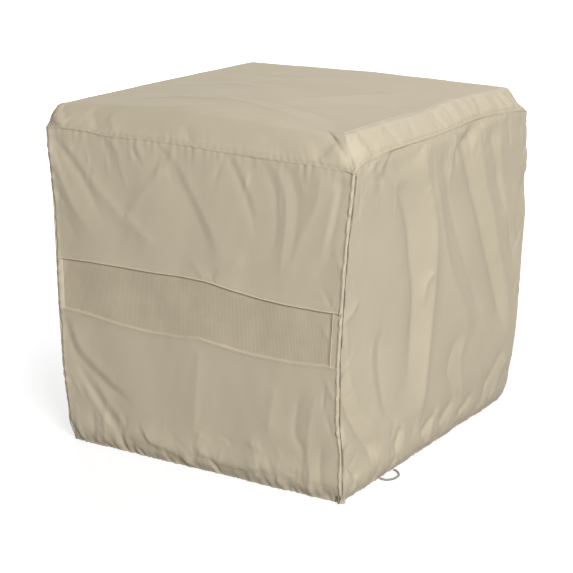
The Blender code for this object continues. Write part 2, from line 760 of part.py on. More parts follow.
def isolators():
    places = {
        "engine_front": (ENGINE_X, SHAFT_Y - 0.37 * ENGINE_DEPTH),
        "engine_rear": (ENGINE_X, SHAFT_Y + 0.37 * ENGINE_DEPTH),
        "alternator_front": (BELL_LEFT + END_BELL / 2, SHAFT_Y - 0.6 * STATOR_RADIUS),
        "alternator_rear": (BELL_LEFT + END_BELL / 2, SHAFT_Y + 0.6 * STATOR_RADIUS),
    }
    waist = ISOLATOR_RADIUS * 0.82
    for name, (x, y) in places.items():
        outline = [
            (ISOLATOR_RADIUS, 0.0),
            (ISOLATOR_RADIUS, 0.2 * ISOLATOR_HEIGHT),
            (waist, 0.5 * ISOLATOR_HEIGHT),
            (ISOLATOR_RADIUS, 0.8 * ISOLATOR_HEIGHT),
            (ISOLATOR_RADIUS, ISOLATOR_HEIGHT),
        ]
        turned("isolator_" + name, "rubber", outline, (x, y, FLOOR_Z), "Z", count=20)


def crankcase():
    case = block("crankcase", "cast_aluminium", (ENGINE_LEFT, ENGINE_FRONT, ENGINE_LOW),
                 (ENGINE_RIGHT, ENGINE_REAR, ENGINE_TOP), ENGINE_BEVEL)
    centre = (ENGINE_X, SHAFT_Y, SHAFT_HEIGHT)
    bore = rod("crank_bore", None, centre, "X", JOURNAL + GAP, -ENGINE_LENGTH, ENGINE_LENGTH)
    combine(case, "DIFFERENCE", bore)


def cylinder():
    """Finned cylinder and head, upright on the crankcase."""
    pitch = CYLINDER_HEIGHT / (2 * FIN_COUNT - 1)
    loops = []
    for i in range(2 * FIN_COUNT - 1):
        half = CYLINDER_HALF if i % 2 == 0 else CYLINDER_CORE
        low = CYLINDER_LOW + i * pitch
        loops.append(rounded_rectangle(half, half, 0.012, low, steps=2))
        loops.append(rounded_rectangle(half, half, 0.012, low + pitch, steps=2))
    skin("cylinder", "cast_aluminium", loops, (ENGINE_X, SHAFT_Y + CYLINDER_Y, 0.0))
    low = CYLINDER_TOP + GAP
    half_x, half_y = 0.76 * CYLINDER_HALF, 0.90 * CYLINDER_HALF
    block("valve_cover", "black_paint", (ENGINE_X - half_x, SHAFT_Y + CYLINDER_Y - half_y, low),
          (ENGINE_X + half_x, SHAFT_Y + CYLINDER_Y + half_y, low + VALVE_COVER_HEIGHT), 0.008)


def blower_housing():
    right = -GAP
    left = right - HOUSING_DEPTH
    bend = 0.12 * HOUSING_RADIUS
    outline = [
        (HOUSING_INLET, left),
        (HOUSING_RADIUS - bend, left),
        (HOUSING_RADIUS, left + bend),
        (HOUSING_RADIUS, right),
        (HOUSING_RADIUS - HOUSING_WALL, right),
        (HOUSING_RADIUS - HOUSING_WALL, left + bend + HOUSING_WALL / 2),
        (HOUSING_RADIUS - bend - HOUSING_WALL / 2, left + HOUSING_WALL),
        (HOUSING_INLET, left + HOUSING_WALL),
    ]
    turned("blower_housing", "black_paint", outline, (ENGINE_LEFT, SHAFT_Y, SHAFT_HEIGHT), "X", ring=True, count=48)


def blade_loop(radius, root, position, count=48):
    """A toothed loop: fan blades seen from the end."""
    points = []
    per_blade = count // FAN_BLADES
    for i in range(count):
        turn = 2 * math.pi * i / count
        reach = radius if i % per_blade < per_blade // 2 else root
        points.append(along("X", reach * math.cos(turn), reach * math.sin(turn), position))
    return points


def flywheel():
    """Flywheel disc with the cooling fan's blades cast on its outer face."""
    right = -0.35 * (HOUSING_DEPTH - FAN_WIDTH)
    left = right - FAN_WIDTH
    disc = right - 0.4 * FAN_WIDTH
    bore = FAN_JOURNAL + GAP
    hub = 2.2 * FAN_JOURNAL
    loops = [
        circle(bore, right, "X", 48),
        circle(FAN_RADIUS, right, "X", 48),
        circle(FAN_RADIUS, disc, "X", 48),
        blade_loop(FAN_RADIUS * 0.97, hub * 1.25, disc - GAP),
        blade_loop(FAN_RADIUS * 0.92, hub * 1.20, left),
        circle(hub, left, "X", 48),
        circle(bore, left, "X", 48),
    ]
    skin("flywheel_fan", "cast_aluminium", loops, (ENGINE_LEFT, SHAFT_Y, SHAFT_HEIGHT), ring=True)


def crankshaft():
    """Crankshaft and generator shaft in one line: stepped at the fan, through the engine and through the rotor."""
    fan_end = -0.35 * (HOUSING_DEPTH - FAN_WIDTH) - FAN_WIDTH - 0.004
    shoulder = -0.35 * (HOUSING_DEPTH - FAN_WIDTH) + GAP
    outline = [
        (FAN_JOURNAL, fan_end),
        (FAN_JOURNAL, shoulder),
        (JOURNAL, shoulder),
        (JOURNAL, ENGINE_LENGTH + 0.012),
        (ROTOR_JOURNAL, ENGINE_LENGTH + 0.012),
        (ROTOR_JOURNAL, BELL_RIGHT - ENGINE_LEFT - 0.004),
    ]
    turned("crankshaft", "steel", outline, (ENGINE_LEFT, SHAFT_Y, SHAFT_HEIGHT), "X")


def alternator():
    centre = (STATOR_LEFT, SHAFT_Y, SHAFT_HEIGHT)
    wall = 0.012
    bore = JOURNAL + GAP
    inside = ROTOR_RADIUS + AIR_GAP
    outline = [
        (bore, 0.0),
        (STATOR_RADIUS, 0.0),
        (STATOR_RADIUS, STATOR_LENGTH),
        (inside, STATOR_LENGTH),
        (inside, wall),
        (bore, wall),
    ]
    turned("stator_housing", "cast_aluminium", outline, centre, "X", ring=True, count=40)
    start = wall + (STATOR_LENGTH - wall - ROTOR_LENGTH) / 2
    rotor_bore = ROTOR_JOURNAL + GAP
    outline = [
        (rotor_bore, start),
        (ROTOR_RADIUS, start),
        (ROTOR_RADIUS, start + ROTOR_LENGTH),
        (rotor_bore, start + ROTOR_LENGTH),
    ]
    turned("rotor", "steel", outline, centre, "X", ring=True, count=40)
    outline = [
        (STATOR_RADIUS, 0.0),
        (STATOR_RADIUS, 0.6 * END_BELL),
        (0.75 * STATOR_RADIUS, END_BELL),
    ]
    bell = turned("end_bell", "cast_aluminium", outline, (BELL_LEFT, SHAFT_Y, SHAFT_HEIGHT), "X", count=40)
    half = 0.80 * STATOR_RADIUS
    foot = block("end_bell_foot", None, (BELL_LEFT + 0.001, SHAFT_Y - half, ENGINE_LOW),
                 (BELL_LEFT + 0.95 * END_BELL, SHAFT_Y + half, SHAFT_HEIGHT - 0.5 * STATOR_RADIUS))
    combine(bell, "UNION", foot)
    shaft_bore = rod("bell_bore", None, (BELL_LEFT, SHAFT_Y, SHAFT_HEIGHT), "X", rotor_bore, -END_BELL, 2 * END_BELL)
    combine(bell, "DIFFERENCE", shaft_bore)


def engine_fittings():
    face = ENGINE_FRONT - GAP
    outline = [
        (0.80 * FILTER_RADIUS, 0.0),
        (FILTER_RADIUS, -0.12 * FILTER_LENGTH),
        (FILTER_RADIUS, -0.90 * FILTER_LENGTH),
        (0.85 * FILTER_RADIUS, -FILTER_LENGTH),
    ]
    filter_place = (ENGINE_RIGHT - FILTER_RADIUS - ENGINE_BEVEL, face, ENGINE_LOW + 2 * FILTER_RADIUS)
    turned("oil_filter", "filter_paint", outline, filter_place, "Y", count=28)
    cap_place = (ENGINE_LEFT + OIL_CAP_RADIUS + 2 * ENGINE_BEVEL, face, SHAFT_HEIGHT)
    cap = turned("oil_fill_cap", "black_plastic", [
        (OIL_CAP_RADIUS, 0.0),
        (OIL_CAP_RADIUS, -0.5 * OIL_CAP_LENGTH),
        (0.8 * OIL_CAP_RADIUS, -0.6 * OIL_CAP_LENGTH),
    ], cap_place, "Y", count=24)
    x, y, z = cap_place
    wing = block("oil_fill_cap_wing", None, (x - 0.75 * OIL_CAP_RADIUS, y - OIL_CAP_LENGTH, z - 0.003),
                 (x + 0.75 * OIL_CAP_RADIUS, y - 0.4 * OIL_CAP_LENGTH, z + 0.003))
    combine(cap, "UNION", wing)
    starter_place = (ENGINE_LEFT + 0.03 * ENGINE_LENGTH, ENGINE_REAR + STARTER_RADIUS + GAP, SHAFT_HEIGHT + 0.025)
    turned("starter_motor", "black_paint", [
        (0.85 * STARTER_RADIUS, 0.0),
        (STARTER_RADIUS, 0.004),
        (STARTER_RADIUS, 0.8 * STARTER_LENGTH),
        (0.7 * STARTER_RADIUS, 0.8 * STARTER_LENGTH),
        (0.7 * STARTER_RADIUS, STARTER_LENGTH),
    ], starter_place, "X", count=28)
    rear = SHAFT_Y + CYLINDER_Y - CYLINDER_HALF - GAP
    low = CYLINDER_LOW + 0.010
    block("air_filter_box", "black_plastic", (ENGINE_X - CYLINDER_HALF, rear - AIR_BOX_DEPTH, low),
          (ENGINE_X + CYLINDER_HALF, rear, low + AIR_BOX_HEIGHT), 0.010)


def exhaust():
    """Muffler behind the alternator, fed from the back of the cylinder head."""
    head_rear = SHAFT_Y + CYLINDER_Y + CYLINDER_HALF + GAP
    muffler_left = ENGINE_X + CYLINDER_HALF + 0.025
    muffler_y = INNER_Y - MUFFLER_HALF_DEPTH - 0.036
    muffler_z = SHAFT_HEIGHT + STATOR_RADIUS + MUFFLER_HALF_HEIGHT
    start_z = CYLINDER_TOP - 0.035
    pipe = smooth_route([
        (ENGINE_X, head_rear, start_z),
        (ENGINE_X, head_rear + 1.6 * EXHAUST_RADIUS, start_z),
        (ENGINE_X + 2.4 * EXHAUST_RADIUS, muffler_y - 0.2 * EXHAUST_RADIUS, 0.5 * (start_z + muffler_z)),
        (muffler_left - 1.6 * EXHAUST_RADIUS, muffler_y, muffler_z),
        (muffler_left - GAP, muffler_y, muffler_z),
    ], EXHAUST_RADIUS)
    tube("exhaust_pipe", "heated_steel", pipe, EXHAUST_RADIUS, resolution=4)
    loops = []
    for scale, position in ((0.80, 0.0), (1.0, 0.012), (1.0, MUFFLER_LENGTH - 0.012), (0.80, MUFFLER_LENGTH)):
        half_y, half_z = scale * MUFFLER_HALF_DEPTH, scale * MUFFLER_HALF_HEIGHT
        loops.append(rounded_rectangle(half_y, half_z, 0.6 * half_y, position, "X", 5))
    skin("muffler", "heated_steel", loops, (muffler_left, muffler_y, muffler_z), smooth=True)


# Fuel, battery and controls

def fuel_system():
    front = INNER_Y - REGULATOR_DEPTH
    outline = [
        (0.35 * REGULATOR_RADIUS, 0.0),
        (0.45 * REGULATOR_RADIUS, 0.35 * REGULATOR_DEPTH),
        (REGULATOR_RADIUS, 0.50 * REGULATOR_DEPTH),
        (REGULATOR_RADIUS, 0.72 * REGULATOR_DEPTH),
        (0.60 * REGULATOR_RADIUS, 0.80 * REGULATOR_DEPTH),
        (0.60 * REGULATOR_RADIUS, REGULATOR_DEPTH),
    ]
    turned("fuel_regulator", "cast_aluminium", outline, (REGULATOR_X, front, REGULATOR_HEIGHT), "Y")
    pivot = (REGULATOR_X, front - GAP, REGULATOR_HEIGHT)
    lever = rod("fuel_selector_lever", "button_red", pivot, "Y", SELECTOR_HUB, -0.012, 0.0)
    arm = block("fuel_selector_arm", None, (REGULATOR_X - 0.6 * SELECTOR_HUB, front - 0.011, REGULATOR_HEIGHT),
                (REGULATOR_X + 0.6 * SELECTOR_HUB, front - 0.005, REGULATOR_HEIGHT + SELECTOR_LENGTH))
    combine(lever, "UNION", arm)
    middle = front + 0.61 * REGULATOR_DEPTH
    route = smooth_route([
        (REGULATOR_X, PANEL_Y + INLET_PROUD, INLET_HEIGHT),
        (REGULATOR_X, middle + 1.3 * INLET_RADIUS, INLET_HEIGHT),
        (REGULATOR_X, middle, INLET_HEIGHT + 1.3 * INLET_RADIUS),
        (REGULATOR_X, middle, REGULATOR_HEIGHT - REGULATOR_RADIUS - GAP),
    ], 0.5 * INLET_RADIUS)
    tube("gas_inlet", "brass", route, INLET_RADIUS, resolution=4)


def battery():
    right = INNER_X - BATTERY_FROM_SIDE
    left = right - BATTERY_LENGTH
    front = -INNER_Y + BATTERY_FROM_FRONT
    rear = front + BATTERY_DEPTH
    top = FLOOR_Z + BATTERY_HEIGHT
    case = block("battery", "black_plastic", (left, front, FLOOR_Z), (right, rear, top), 0.004)
    for side, x in (("left", left + 0.14 * BATTERY_LENGTH), ("right", right - 0.14 * BATTERY_LENGTH)):
        place = (x, rear - 0.18 * BATTERY_DEPTH, top)
        combine(case, "UNION", rod(f"battery_post_{side}", None, place, "Z", POST_RADIUS, -0.01, POST_HEIGHT, 20))


def controls():
    low = (CONTROL_LEFT, CONTROL_FRONT, CONTROL_TOP - CONTROL_HEIGHT)
    high = (CONTROL_RIGHT, CONTROL_REAR, CONTROL_TOP)
    box = block("control_box", "grey_plastic", low, high, 0.004)
    # Display lens in a shallow seat
    lens_x = CONTROL_LEFT + 0.26 * CONTROL_WIDTH
    lens_y = CONTROL_REAR - 0.30 * CONTROL_DEPTH
    half_x, half_y = LENS_WIDTH / 2, LENS_DEPTH / 2
    seat = block("lens_seat", None, (lens_x - half_x - GAP, lens_y - half_y - GAP, CONTROL_TOP - LENS_SEAT - GAP),
                 (lens_x + half_x + GAP, lens_y + half_y + GAP, CONTROL_TOP + LENS_SEAT))
    combine(box, "DIFFERENCE", seat)
    block("display_lens", "lens", (lens_x - half_x, lens_y - half_y, CONTROL_TOP - LENS_SEAT),
          (lens_x + half_x, lens_y + half_y, CONTROL_TOP + GAP))
    # Push buttons, each in its own seat with room for its travel
    colours = ("button_green", "button_amber", "button_red")
    button_y = CONTROL_FRONT + 0.28 * CONTROL_DEPTH
    for i, (name, colour) in enumerate(zip(BUTTON_NAMES, colours)):
        place = (lens_x + (i - 1) * BUTTON_PITCH, button_y, CONTROL_TOP)
        hole = rod(f"button_seat_{name}", None, place, "Z", BUTTON_RADIUS + GAP, -BUTTON_SEAT, BUTTON_SEAT)
        combine(box, "DIFFERENCE", hole)
        bottom = -BUTTON_SEAT + BUTTON_TRAVEL + GAP
        outline = [
            (BUTTON_RADIUS, bottom),
            (BUTTON_RADIUS, 0.8 * BUTTON_PROUD),
            (0.85 * BUTTON_RADIUS, BUTTON_PROUD),
        ]
        turned(f"button_{name}", colour, outline, place, "Z", count=24)
    breaker(box)


def breaker(box):
    """Main breaker let into the control box, with its toggle in a slot, shown off."""
    x = CONTROL_RIGHT - 0.20 * CONTROL_WIDTH
    y = (CONTROL_FRONT + CONTROL_REAR) / 2
    half_x, half_y = BREAKER_WIDTH / 2, BREAKER_DEPTH / 2
    low = CONTROL_TOP - BREAKER_SEAT
    top = CONTROL_TOP + BREAKER_PROUD
    seat = block("breaker_seat", None, (x - half_x - GAP, y - half_y - GAP, low - GAP),
                 (x + half_x + GAP, y + half_y + GAP, top))
    combine(box, "DIFFERENCE", seat)
    body = block("main_breaker", "black_plastic", (x - half_x, y - half_y, low), (x + half_x, y + half_y, top))
    slot_floor = low + 0.003
    side = TOGGLE_WIDTH / 2 + GAP
    slot = block("toggle_slot", None, (x - side, y - TOGGLE_SLOT / 2, slot_floor),
                 (x + side, y + TOGGLE_SLOT / 2, top + 0.001))
    combine(body, "DIFFERENCE", slot)
    pivot = (x, y, slot_floor + TOGGLE_HUB + GAP)
    half = TOGGLE_WIDTH / 2
    toggle = rod("breaker_toggle", "black_plastic", pivot, "X", TOGGLE_HUB, -half, half, 20)
    lever = block("breaker_lever", None, (x - half, y - 0.5 * TOGGLE_HUB, pivot[2]),
                  (x + half, y + 0.5 * TOGGLE_HUB, pivot[2] + TOGGLE_LENGTH), origin=pivot)
    lever.rotation_euler.x = -math.radians(TOGGLE_TILT)
    combine(toggle, "UNION", lever)


def machinery():
    isolators()
    crankcase()
    cylinder()
    blower_housing()
    flywheel()
    crankshaft()
    alternator()
    engine_fittings()
    exhaust()
    fuel_system()
    battery()
    controls()


clear_scene()
cover()
enclosure()
machinery()
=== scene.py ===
"""The look of a home standby generator under its fitted cover, around the frame of its CAD."""

import math

import bpy
import numpy as np
from mathutils import Matrix, Vector

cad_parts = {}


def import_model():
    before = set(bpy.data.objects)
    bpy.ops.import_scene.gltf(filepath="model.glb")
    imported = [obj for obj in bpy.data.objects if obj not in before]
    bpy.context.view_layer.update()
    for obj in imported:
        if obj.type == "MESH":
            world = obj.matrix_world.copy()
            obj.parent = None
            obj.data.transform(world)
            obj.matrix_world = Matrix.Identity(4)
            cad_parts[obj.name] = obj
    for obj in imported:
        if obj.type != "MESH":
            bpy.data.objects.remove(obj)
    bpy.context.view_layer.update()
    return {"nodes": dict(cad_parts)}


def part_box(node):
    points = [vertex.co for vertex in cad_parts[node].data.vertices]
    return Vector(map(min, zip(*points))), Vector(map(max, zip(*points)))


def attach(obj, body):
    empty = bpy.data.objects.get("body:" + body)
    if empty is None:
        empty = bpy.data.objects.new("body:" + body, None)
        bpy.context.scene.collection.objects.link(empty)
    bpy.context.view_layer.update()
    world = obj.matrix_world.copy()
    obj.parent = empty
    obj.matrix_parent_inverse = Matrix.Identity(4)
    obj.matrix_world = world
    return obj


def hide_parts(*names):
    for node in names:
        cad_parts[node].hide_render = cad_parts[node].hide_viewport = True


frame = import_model()
nodes = frame["nodes"]

MM = 0.001


# ---------------------------------------------------------------- small helpers

def metres(table):
    """A table written in mm, in metres."""
    return np.array(table, dtype=float) / 1000.0


def smooth(x):
    """0 below 0, 1 above 1 and a soft step between."""
    x = np.clip(x, 0.0, 1.0)
    return x * x * (3.0 - 2.0 * x)


def bell(x, at, width):
    """1 at one place, falling away on both sides of it."""
    return np.exp(-((x - at) / width) ** 2)


def graded(length, fine, coarse, growth=0.28):
    """Places from 0 to length, close together at both ends and wide apart between them."""
    half = [0.0]
    while half[-1] < length / 2:
        half.append(half[-1] + min(coarse, fine + growth * half[-1]))
    half = np.array(half) * (length / 2) / half[-1]
    return np.concatenate([half, length - half[-2::-1]])


def catmull(points, steps=6):
    """A smooth line through the points."""
    p = np.array(points, dtype=float)
    ends = np.vstack([2 * p[0] - p[1], p, 2 * p[-1] - p[-2]])
    line = []
    for a, b, c, d in zip(ends, ends[1:], ends[2:], ends[3:]):
        for s in np.linspace(0.0, 1.0, steps, endpoint=False):
            line.append(0.5 * (2 * b + (c - a) * s + (2 * a - 5 * b + 4 * c - d) * s ** 2
                               + (3 * b - a - 3 * c + d) * s ** 3))
    line.append(p[-1])
    return np.array(line)


def lengths_along(line):
    """The distance from a line's start to each of its points."""
    return np.concatenate([[0.0], np.cumsum(np.linalg.norm(np.diff(line, axis=0), axis=1))])


def beside(u, z, points):
    """Each place's signed distance from a line (positive on its left), and the share of the line reached."""
    line = catmull(metres(points))
    lengths = np.linalg.norm(np.diff(line, axis=0), axis=1)
    total = lengths.sum()
    best = np.full(u.shape, 1e9)
    signed = np.zeros(u.shape)
    share = np.zeros(u.shape)
    run = 0.0
    for a, b, length in zip(line[:-1], line[1:], lengths):
        way = (b - a) / max(length, 1e-9)
        du, dz = u - a[0], z - a[1]
        s = np.clip(du * way[0] + dz * way[1], 0.0, length)
        gap = np.hypot(du - s * way[0], dz - s * way[1])
        near = gap < best
        best = np.where(near, gap, best)
        side = way[0] * dz - way[1] * du
        signed = np.where(near, np.where(side >= 0, gap, -gap), signed)
        share = np.where(near, (run + s) / total, share)
        run += length
    return signed, share


FOLD_WIDEN = 1.35       # all folds' widths
FOLD_CREST = 0.16       # share of the width that is rounded at the top


def fold(u, z, height, left, right, start, end, *points):
    """A ridge (or, with a negative height, a valley) along a line, with nearly flat sides that fade into the
    cloth. The height, the widths to the left and right and the points are in mm. It grows over one share of
    its length, start, and fades over another, end."""
    gap, share = beside(u, z, points)
    width = np.where(gap >= 0, left, right) * FOLD_WIDEN * MM
    crest = FOLD_CREST * width
    fade = smooth(share / start) * smooth((1.0 - share) / end)
    return height * MM * np.exp(-(np.hypot(gap, crest) - crest) / width) * fade


def ledge(u, z, height, spread, edge, start, end, *points):
    """Cloth that hangs over a crease: proud on the left of the line, and falling away from it over spread."""
    gap, share = beside(u, z, points)
    fade = smooth(share / start) * smooth((1.0 - share) / end)
    rise = smooth(gap / (edge * MM) + 0.5)
    return height * MM * rise * np.exp(-np.maximum(gap, 0.0) / (spread * MM)) * fade


def circle(centre, side, other, radius, sides):
    """Points round a centre, in the plane of two directions at right angles."""
    turns = [2 * math.pi * k / sides for k in range(sides)]
    return [centre + (math.cos(a) * side + math.sin(a) * other) * radius for a in turns]


def skin(rings, closed=False):
    """Points and faces of a surface through rings of as many points each, with a face over each end unless it
    is closed into a loop."""
    sides, count = len(rings[0]), len(rings)
    faces = []
    for i in range(count if closed else count - 1):
        low, high = i * sides, (i + 1) % count * sides
        for k in range(sides):
            m = (k + 1) % sides
            faces.append((low + k, low + m, high + m, high + k))
    if not closed:
        faces.append(tuple(range(sides))[::-1])
        faces.append(tuple((count - 1) * sides + k for k in range(sides)))
    return [q for ring in rings for q in ring], faces


def together(shapes):
    """Points and faces of several surfaces as one."""
    vertices, faces = [], []
    for more_vertices, more_faces in shapes:
        faces += [tuple(len(vertices) + k for k in face) for face in more_faces]
        vertices += more_vertices
    return vertices, faces


def linked(obj):
    bpy.context.scene.collection.objects.link(obj)
    return obj


def mesh_object(name, vertices, faces, body, slot, material, shade_smooth=True):
    """A mesh with one material that rides on a body."""
    mesh = bpy.data.meshes.new(name)
    mesh.from_pydata([tuple(v) for v in vertices], [], [tuple(f) for f in faces])
    mesh.validate()
    if shade_smooth:
        mesh.polygons.foreach_set("use_smooth", [True] * len(mesh.polygons))
    mesh.materials.append(material)
    obj = linked(bpy.data.objects.new(name, mesh))
    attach(obj, body)
    return obj


# ---------------------------------------------------------------- materials

class Nodes:
    """A node tree under construction, with short names for the nodes it uses."""

    def __init__(self, tree):
        self.tree = tree

    def node(self, kind, **settings):
        made = self.tree.nodes.new(kind)
        for key, value in settings.items():
            if key in made.inputs:
                made.inputs[key].default_value = value
            else:
                setattr(made, key, value)
        return made

    def link(self, out, into):
        self.tree.links.new(out, into)

    def maths(self, operation, a, b=None):
        made = self.node("ShaderNodeMath", operation=operation)
        for value, socket in ((a, made.inputs[0]), (b, made.inputs[1])):
            if isinstance(value, (int, float)):
                socket.default_value = value
            elif value is not None:
                self.link(value, socket)
        return made.outputs["Value"]

    def mixed(self, a, share_a, b, share_b):
        return self.maths("ADD", self.maths("MULTIPLY", a, share_a), self.maths("MULTIPLY", b, share_b))

    def ranged(self, value, low, high, start=0.0, stop=1.0):
        """low where the value is start, high where it is stop."""
        made = self.node("ShaderNodeMapRange")
        for key, number in (("From Min", start), ("From Max", stop), ("To Min", low), ("To Max", high)):
            made.inputs[key].default_value = number
        self.link(value, made.inputs["Value"])
        return made.outputs["Result"]

    def background_rays(self, *kinds):
        """1 for the rays that see the background, and 0 for the light that falls on the object."""
        path = self.node("ShaderNodeLightPath")
        seen = path.outputs["Is Camera Ray"]
        for kind in kinds:
            seen = self.maths("MAXIMUM", seen, path.outputs[kind])
        return seen


class Shader(Nodes):
    """A Principled material under construction."""

    def __init__(self, name, base, roughness, metallic=0.0, **sockets):
        self.material = bpy.data.materials.new(name)
        self.material.use_nodes = True
        super().__init__(self.material.node_tree)
        self.inputs = self.tree.nodes["Principled BSDF"].inputs
        self.inputs["Base Color"].default_value = (*base, 1.0)
        self.inputs["Roughness"].default_value = roughness
        self.inputs["Metallic"].default_value = metallic
        for key, value in sockets.items():
            self.inputs[key.replace("_", " ")].default_value = value

    def place(self, scale=(1, 1, 1), kind="Object"):
        coords = self.node("ShaderNodeTexCoord")
        mapping = self.node("ShaderNodeMapping", Scale=scale)
        self.link(coords.outputs[kind], mapping.inputs["Vector"])
        return mapping.outputs["Vector"]

    def waves(self, *pitches):
        """A sine along the cloth and one up it, at so many waves to the metre."""
        split = self.node("ShaderNodeSeparateXYZ")
        self.link(self.place(kind="UV"), split.inputs["Vector"])
        return [self.maths("SINE", self.maths("MULTIPLY", split.outputs[axis], 2 * math.pi * pitch))
                for axis, pitch in zip("XY", pitches)]

    def noise(self, scale, detail=3.0, rough=0.55, stretch=(1, 1, 1), kind="Object"):
        made = self.node("ShaderNodeTexNoise", Scale=scale, Detail=detail, Roughness=rough)
        self.link(self.place(stretch, kind), made.inputs["Vector"])
        return made.outputs["Fac"]

    def colour(self, fac, low, high, colours):
        made = self.node("ShaderNodeValToRGB")
        for element, position, colour in zip(made.color_ramp.elements, (low, high), colours):
            element.position = position
            element.color = (*colour, 1.0)
        self.link(fac, made.inputs["Fac"])
        self.link(made.outputs["Color"], self.inputs["Base Color"])

    def roughness(self, fac, low, high):
        self.link(self.ranged(fac, low, high), self.inputs["Roughness"])

    def bump(self, height, strength, distance):
        made = self.node("ShaderNodeBump", Strength=strength, Distance=distance)
        self.link(height, made.inputs["Height"])
        self.link(made.outputs["Normal"], self.inputs["Normal"])


def tint(colour, share):
    return tuple(c * share for c in colour)


def tints(colour, low, high):
    return tint(colour, low), tint(colour, high)


CLOTH = (0.492, 0.429, 0.316)
NET = (0.470, 0.405, 0.292)
THREAD = (0.46, 0.40, 0.28)
CORD = (0.30, 0.26, 0.19)
THREADS_PER_M = 1500.0
NET_PITCH = (0.0030, 0.0016)


def cloth_material(name="cover_cloth", base=CLOTH):
    """Coated woven polyester: crossed threads, a soft sheen and slow changes of shade."""
    s = Shader(name, base, 0.62, Specular_IOR_Level=0.30)
    across, down = s.waves(THREADS_PER_M, THREADS_PER_M)
    slub = s.noise(420.0, 2.0, stretch=(1, 6, 1), kind="UV")
    height = s.maths("ADD", s.maths("MULTIPLY", s.maths("MULTIPLY", across, down), 0.35), slub)
    cloud = s.noise(9.0, 4.0, 0.6)
    fine = s.noise(260.0, 2.0, 0.6, stretch=(1, 5, 1), kind="UV")
    s.colour(s.mixed(cloud, 0.75, fine, 0.25), 0.30, 0.70, tints(base, 0.965, 1.035))
    s.roughness(cloud, 0.56, 0.70)
    s.bump(height, 0.10, 0.0004)
    return s.material


def net_material():
    """The vent's fine net: close upright cords crossed by thinner ones."""
    s = Shader("vent_mesh_cloth", NET, 0.66, Specular_IOR_Level=0.3)
    cords, cross = s.waves(1 / NET_PITCH[0], 1 / NET_PITCH[1])
    net = s.mixed(cords, 0.7, cross, 0.2)
    shade = s.maths("ADD", s.maths("MULTIPLY", net, 0.22), s.noise(14.0, 3.0, 0.6))
    s.colour(shade, 0.25, 0.80, tints(NET, 0.90, 1.09))
    s.bump(net, 0.35, 0.0005)
    return s.material


def thread_material():
    s = Shader("stitch_thread", THREAD, 0.55)
    s.colour(s.noise(900.0, 1.0), 0.35, 0.65, tints(THREAD, 0.85, 1.1))
    return s.material


def cord_material():
    """Ribbed elastic."""
    s = Shader("elastic_braid", CORD, 0.72, Sheen_Weight=0.15)
    wave = s.node("ShaderNodeTexWave", wave_type="BANDS", bands_direction="DIAGONAL", Scale=260.0,
                  Distortion=0.5)
    s.link(s.place(), wave.inputs["Vector"])
    s.colour(wave.outputs["Fac"], 0.2, 0.8, tints(CORD, 0.75, 1.15))
    s.bump(wave.outputs["Fac"], 0.5, 0.0004)
    return s.material


def worn(name, base, roughness, metallic, grain, spread, bump, depth, cloud, **sockets):
    """A hard finish with a fine grain, a slow drift of shade and uneven gloss."""
    s = Shader(name, base, roughness, metallic, **sockets)
    drift = s.noise(cloud, 4.0, 0.6)
    fine = s.noise(grain, 3.0, 0.6)
    s.colour(s.mixed(drift, 0.6, fine, 0.4), 0.30, 0.70, tints(base, 1 - spread, 1 + spread))
    s.roughness(fine, roughness * 0.80, min(roughness * 1.25, 1.0))
    s.bump(fine, bump, depth)
    return s.material


def heated_metal():
    """Steel that its own heat has turned straw and brown in patches."""
    s = Shader("heated_steel", (0.33, 0.30, 0.27), 0.42, 0.9)
    patches = s.noise(11.0, 5.0, 0.65)
    fine = s.noise(190.0, 2.0, 0.5)
    s.colour(patches, 0.35, 0.68, ((0.20, 0.135, 0.085), (0.42, 0.40, 0.38)))
    s.roughness(fine, 0.32, 0.55)
    s.bump(fine, 0.12, 0.0003)
    return s.material


def drawn_metal(name, base, roughness, stretch):
    """Bare metal with fine marks all one way."""
    s = Shader(name, base, roughness, 1.0)
    lines = s.noise(60.0, 4.0, 0.6, stretch)
    s.colour(lines, 0.3, 0.7, tints(base, 0.88, 1.08))
    s.roughness(lines, roughness * 0.75, roughness * 1.35)
    s.bump(lines, 0.10, 0.0002)
    return s.material


# Colour, roughness, metallic, scale of the grain, spread of the shade, bump, its depth, scale of the drift
HARD_FINISHES = {
    "enclosure_paint": ((0.56, 0.55, 0.50), 0.46, 0.0, 420.0, 0.03, 0.22, 0.00025, 3.0),
    "pad_composite": ((0.31, 0.31, 0.30), 0.86, 0.0, 240.0, 0.16, 0.55, 0.0010, 6.0),
    "rubber": ((0.030, 0.030, 0.031), 0.74, 0.0, 150.0, 0.22, 0.20, 0.0004, 6.0),
    "black_paint": ((0.034, 0.035, 0.037), 0.40, 0.0, 330.0, 0.18, 0.20, 0.0003, 6.0),
    "black_plastic": ((0.030, 0.031, 0.033), 0.52, 0.0, 620.0, 0.14, 0.30, 0.0002, 6.0),
    "grey_plastic": ((0.215, 0.220, 0.225), 0.55, 0.0, 560.0, 0.05, 0.30, 0.0002, 6.0),
    "cast_aluminium": ((0.55, 0.555, 0.56), 0.46, 0.85, 170.0, 0.09, 0.40, 0.0006, 6.0),
    "filter_paint": ((0.62, 0.61, 0.57), 0.36, 0.0, 300.0, 0.05, 0.12, 0.0002, 6.0),
    "lens": ((0.020, 0.026, 0.024), 0.12, 0.0, 80.0, 0.20, 0.02, 0.0001, 6.0),
    "button_green": ((0.05, 0.30, 0.09), 0.42, 0.0, 500.0, 0.08, 0.20, 0.0002, 6.0),
    "button_amber": ((0.66, 0.33, 0.03), 0.42, 0.0, 500.0, 0.08, 0.20, 0.0002, 6.0),
    "button_red": ((0.48, 0.035, 0.03), 0.42, 0.0, 500.0, 0.08, 0.20, 0.0002, 6.0),
}
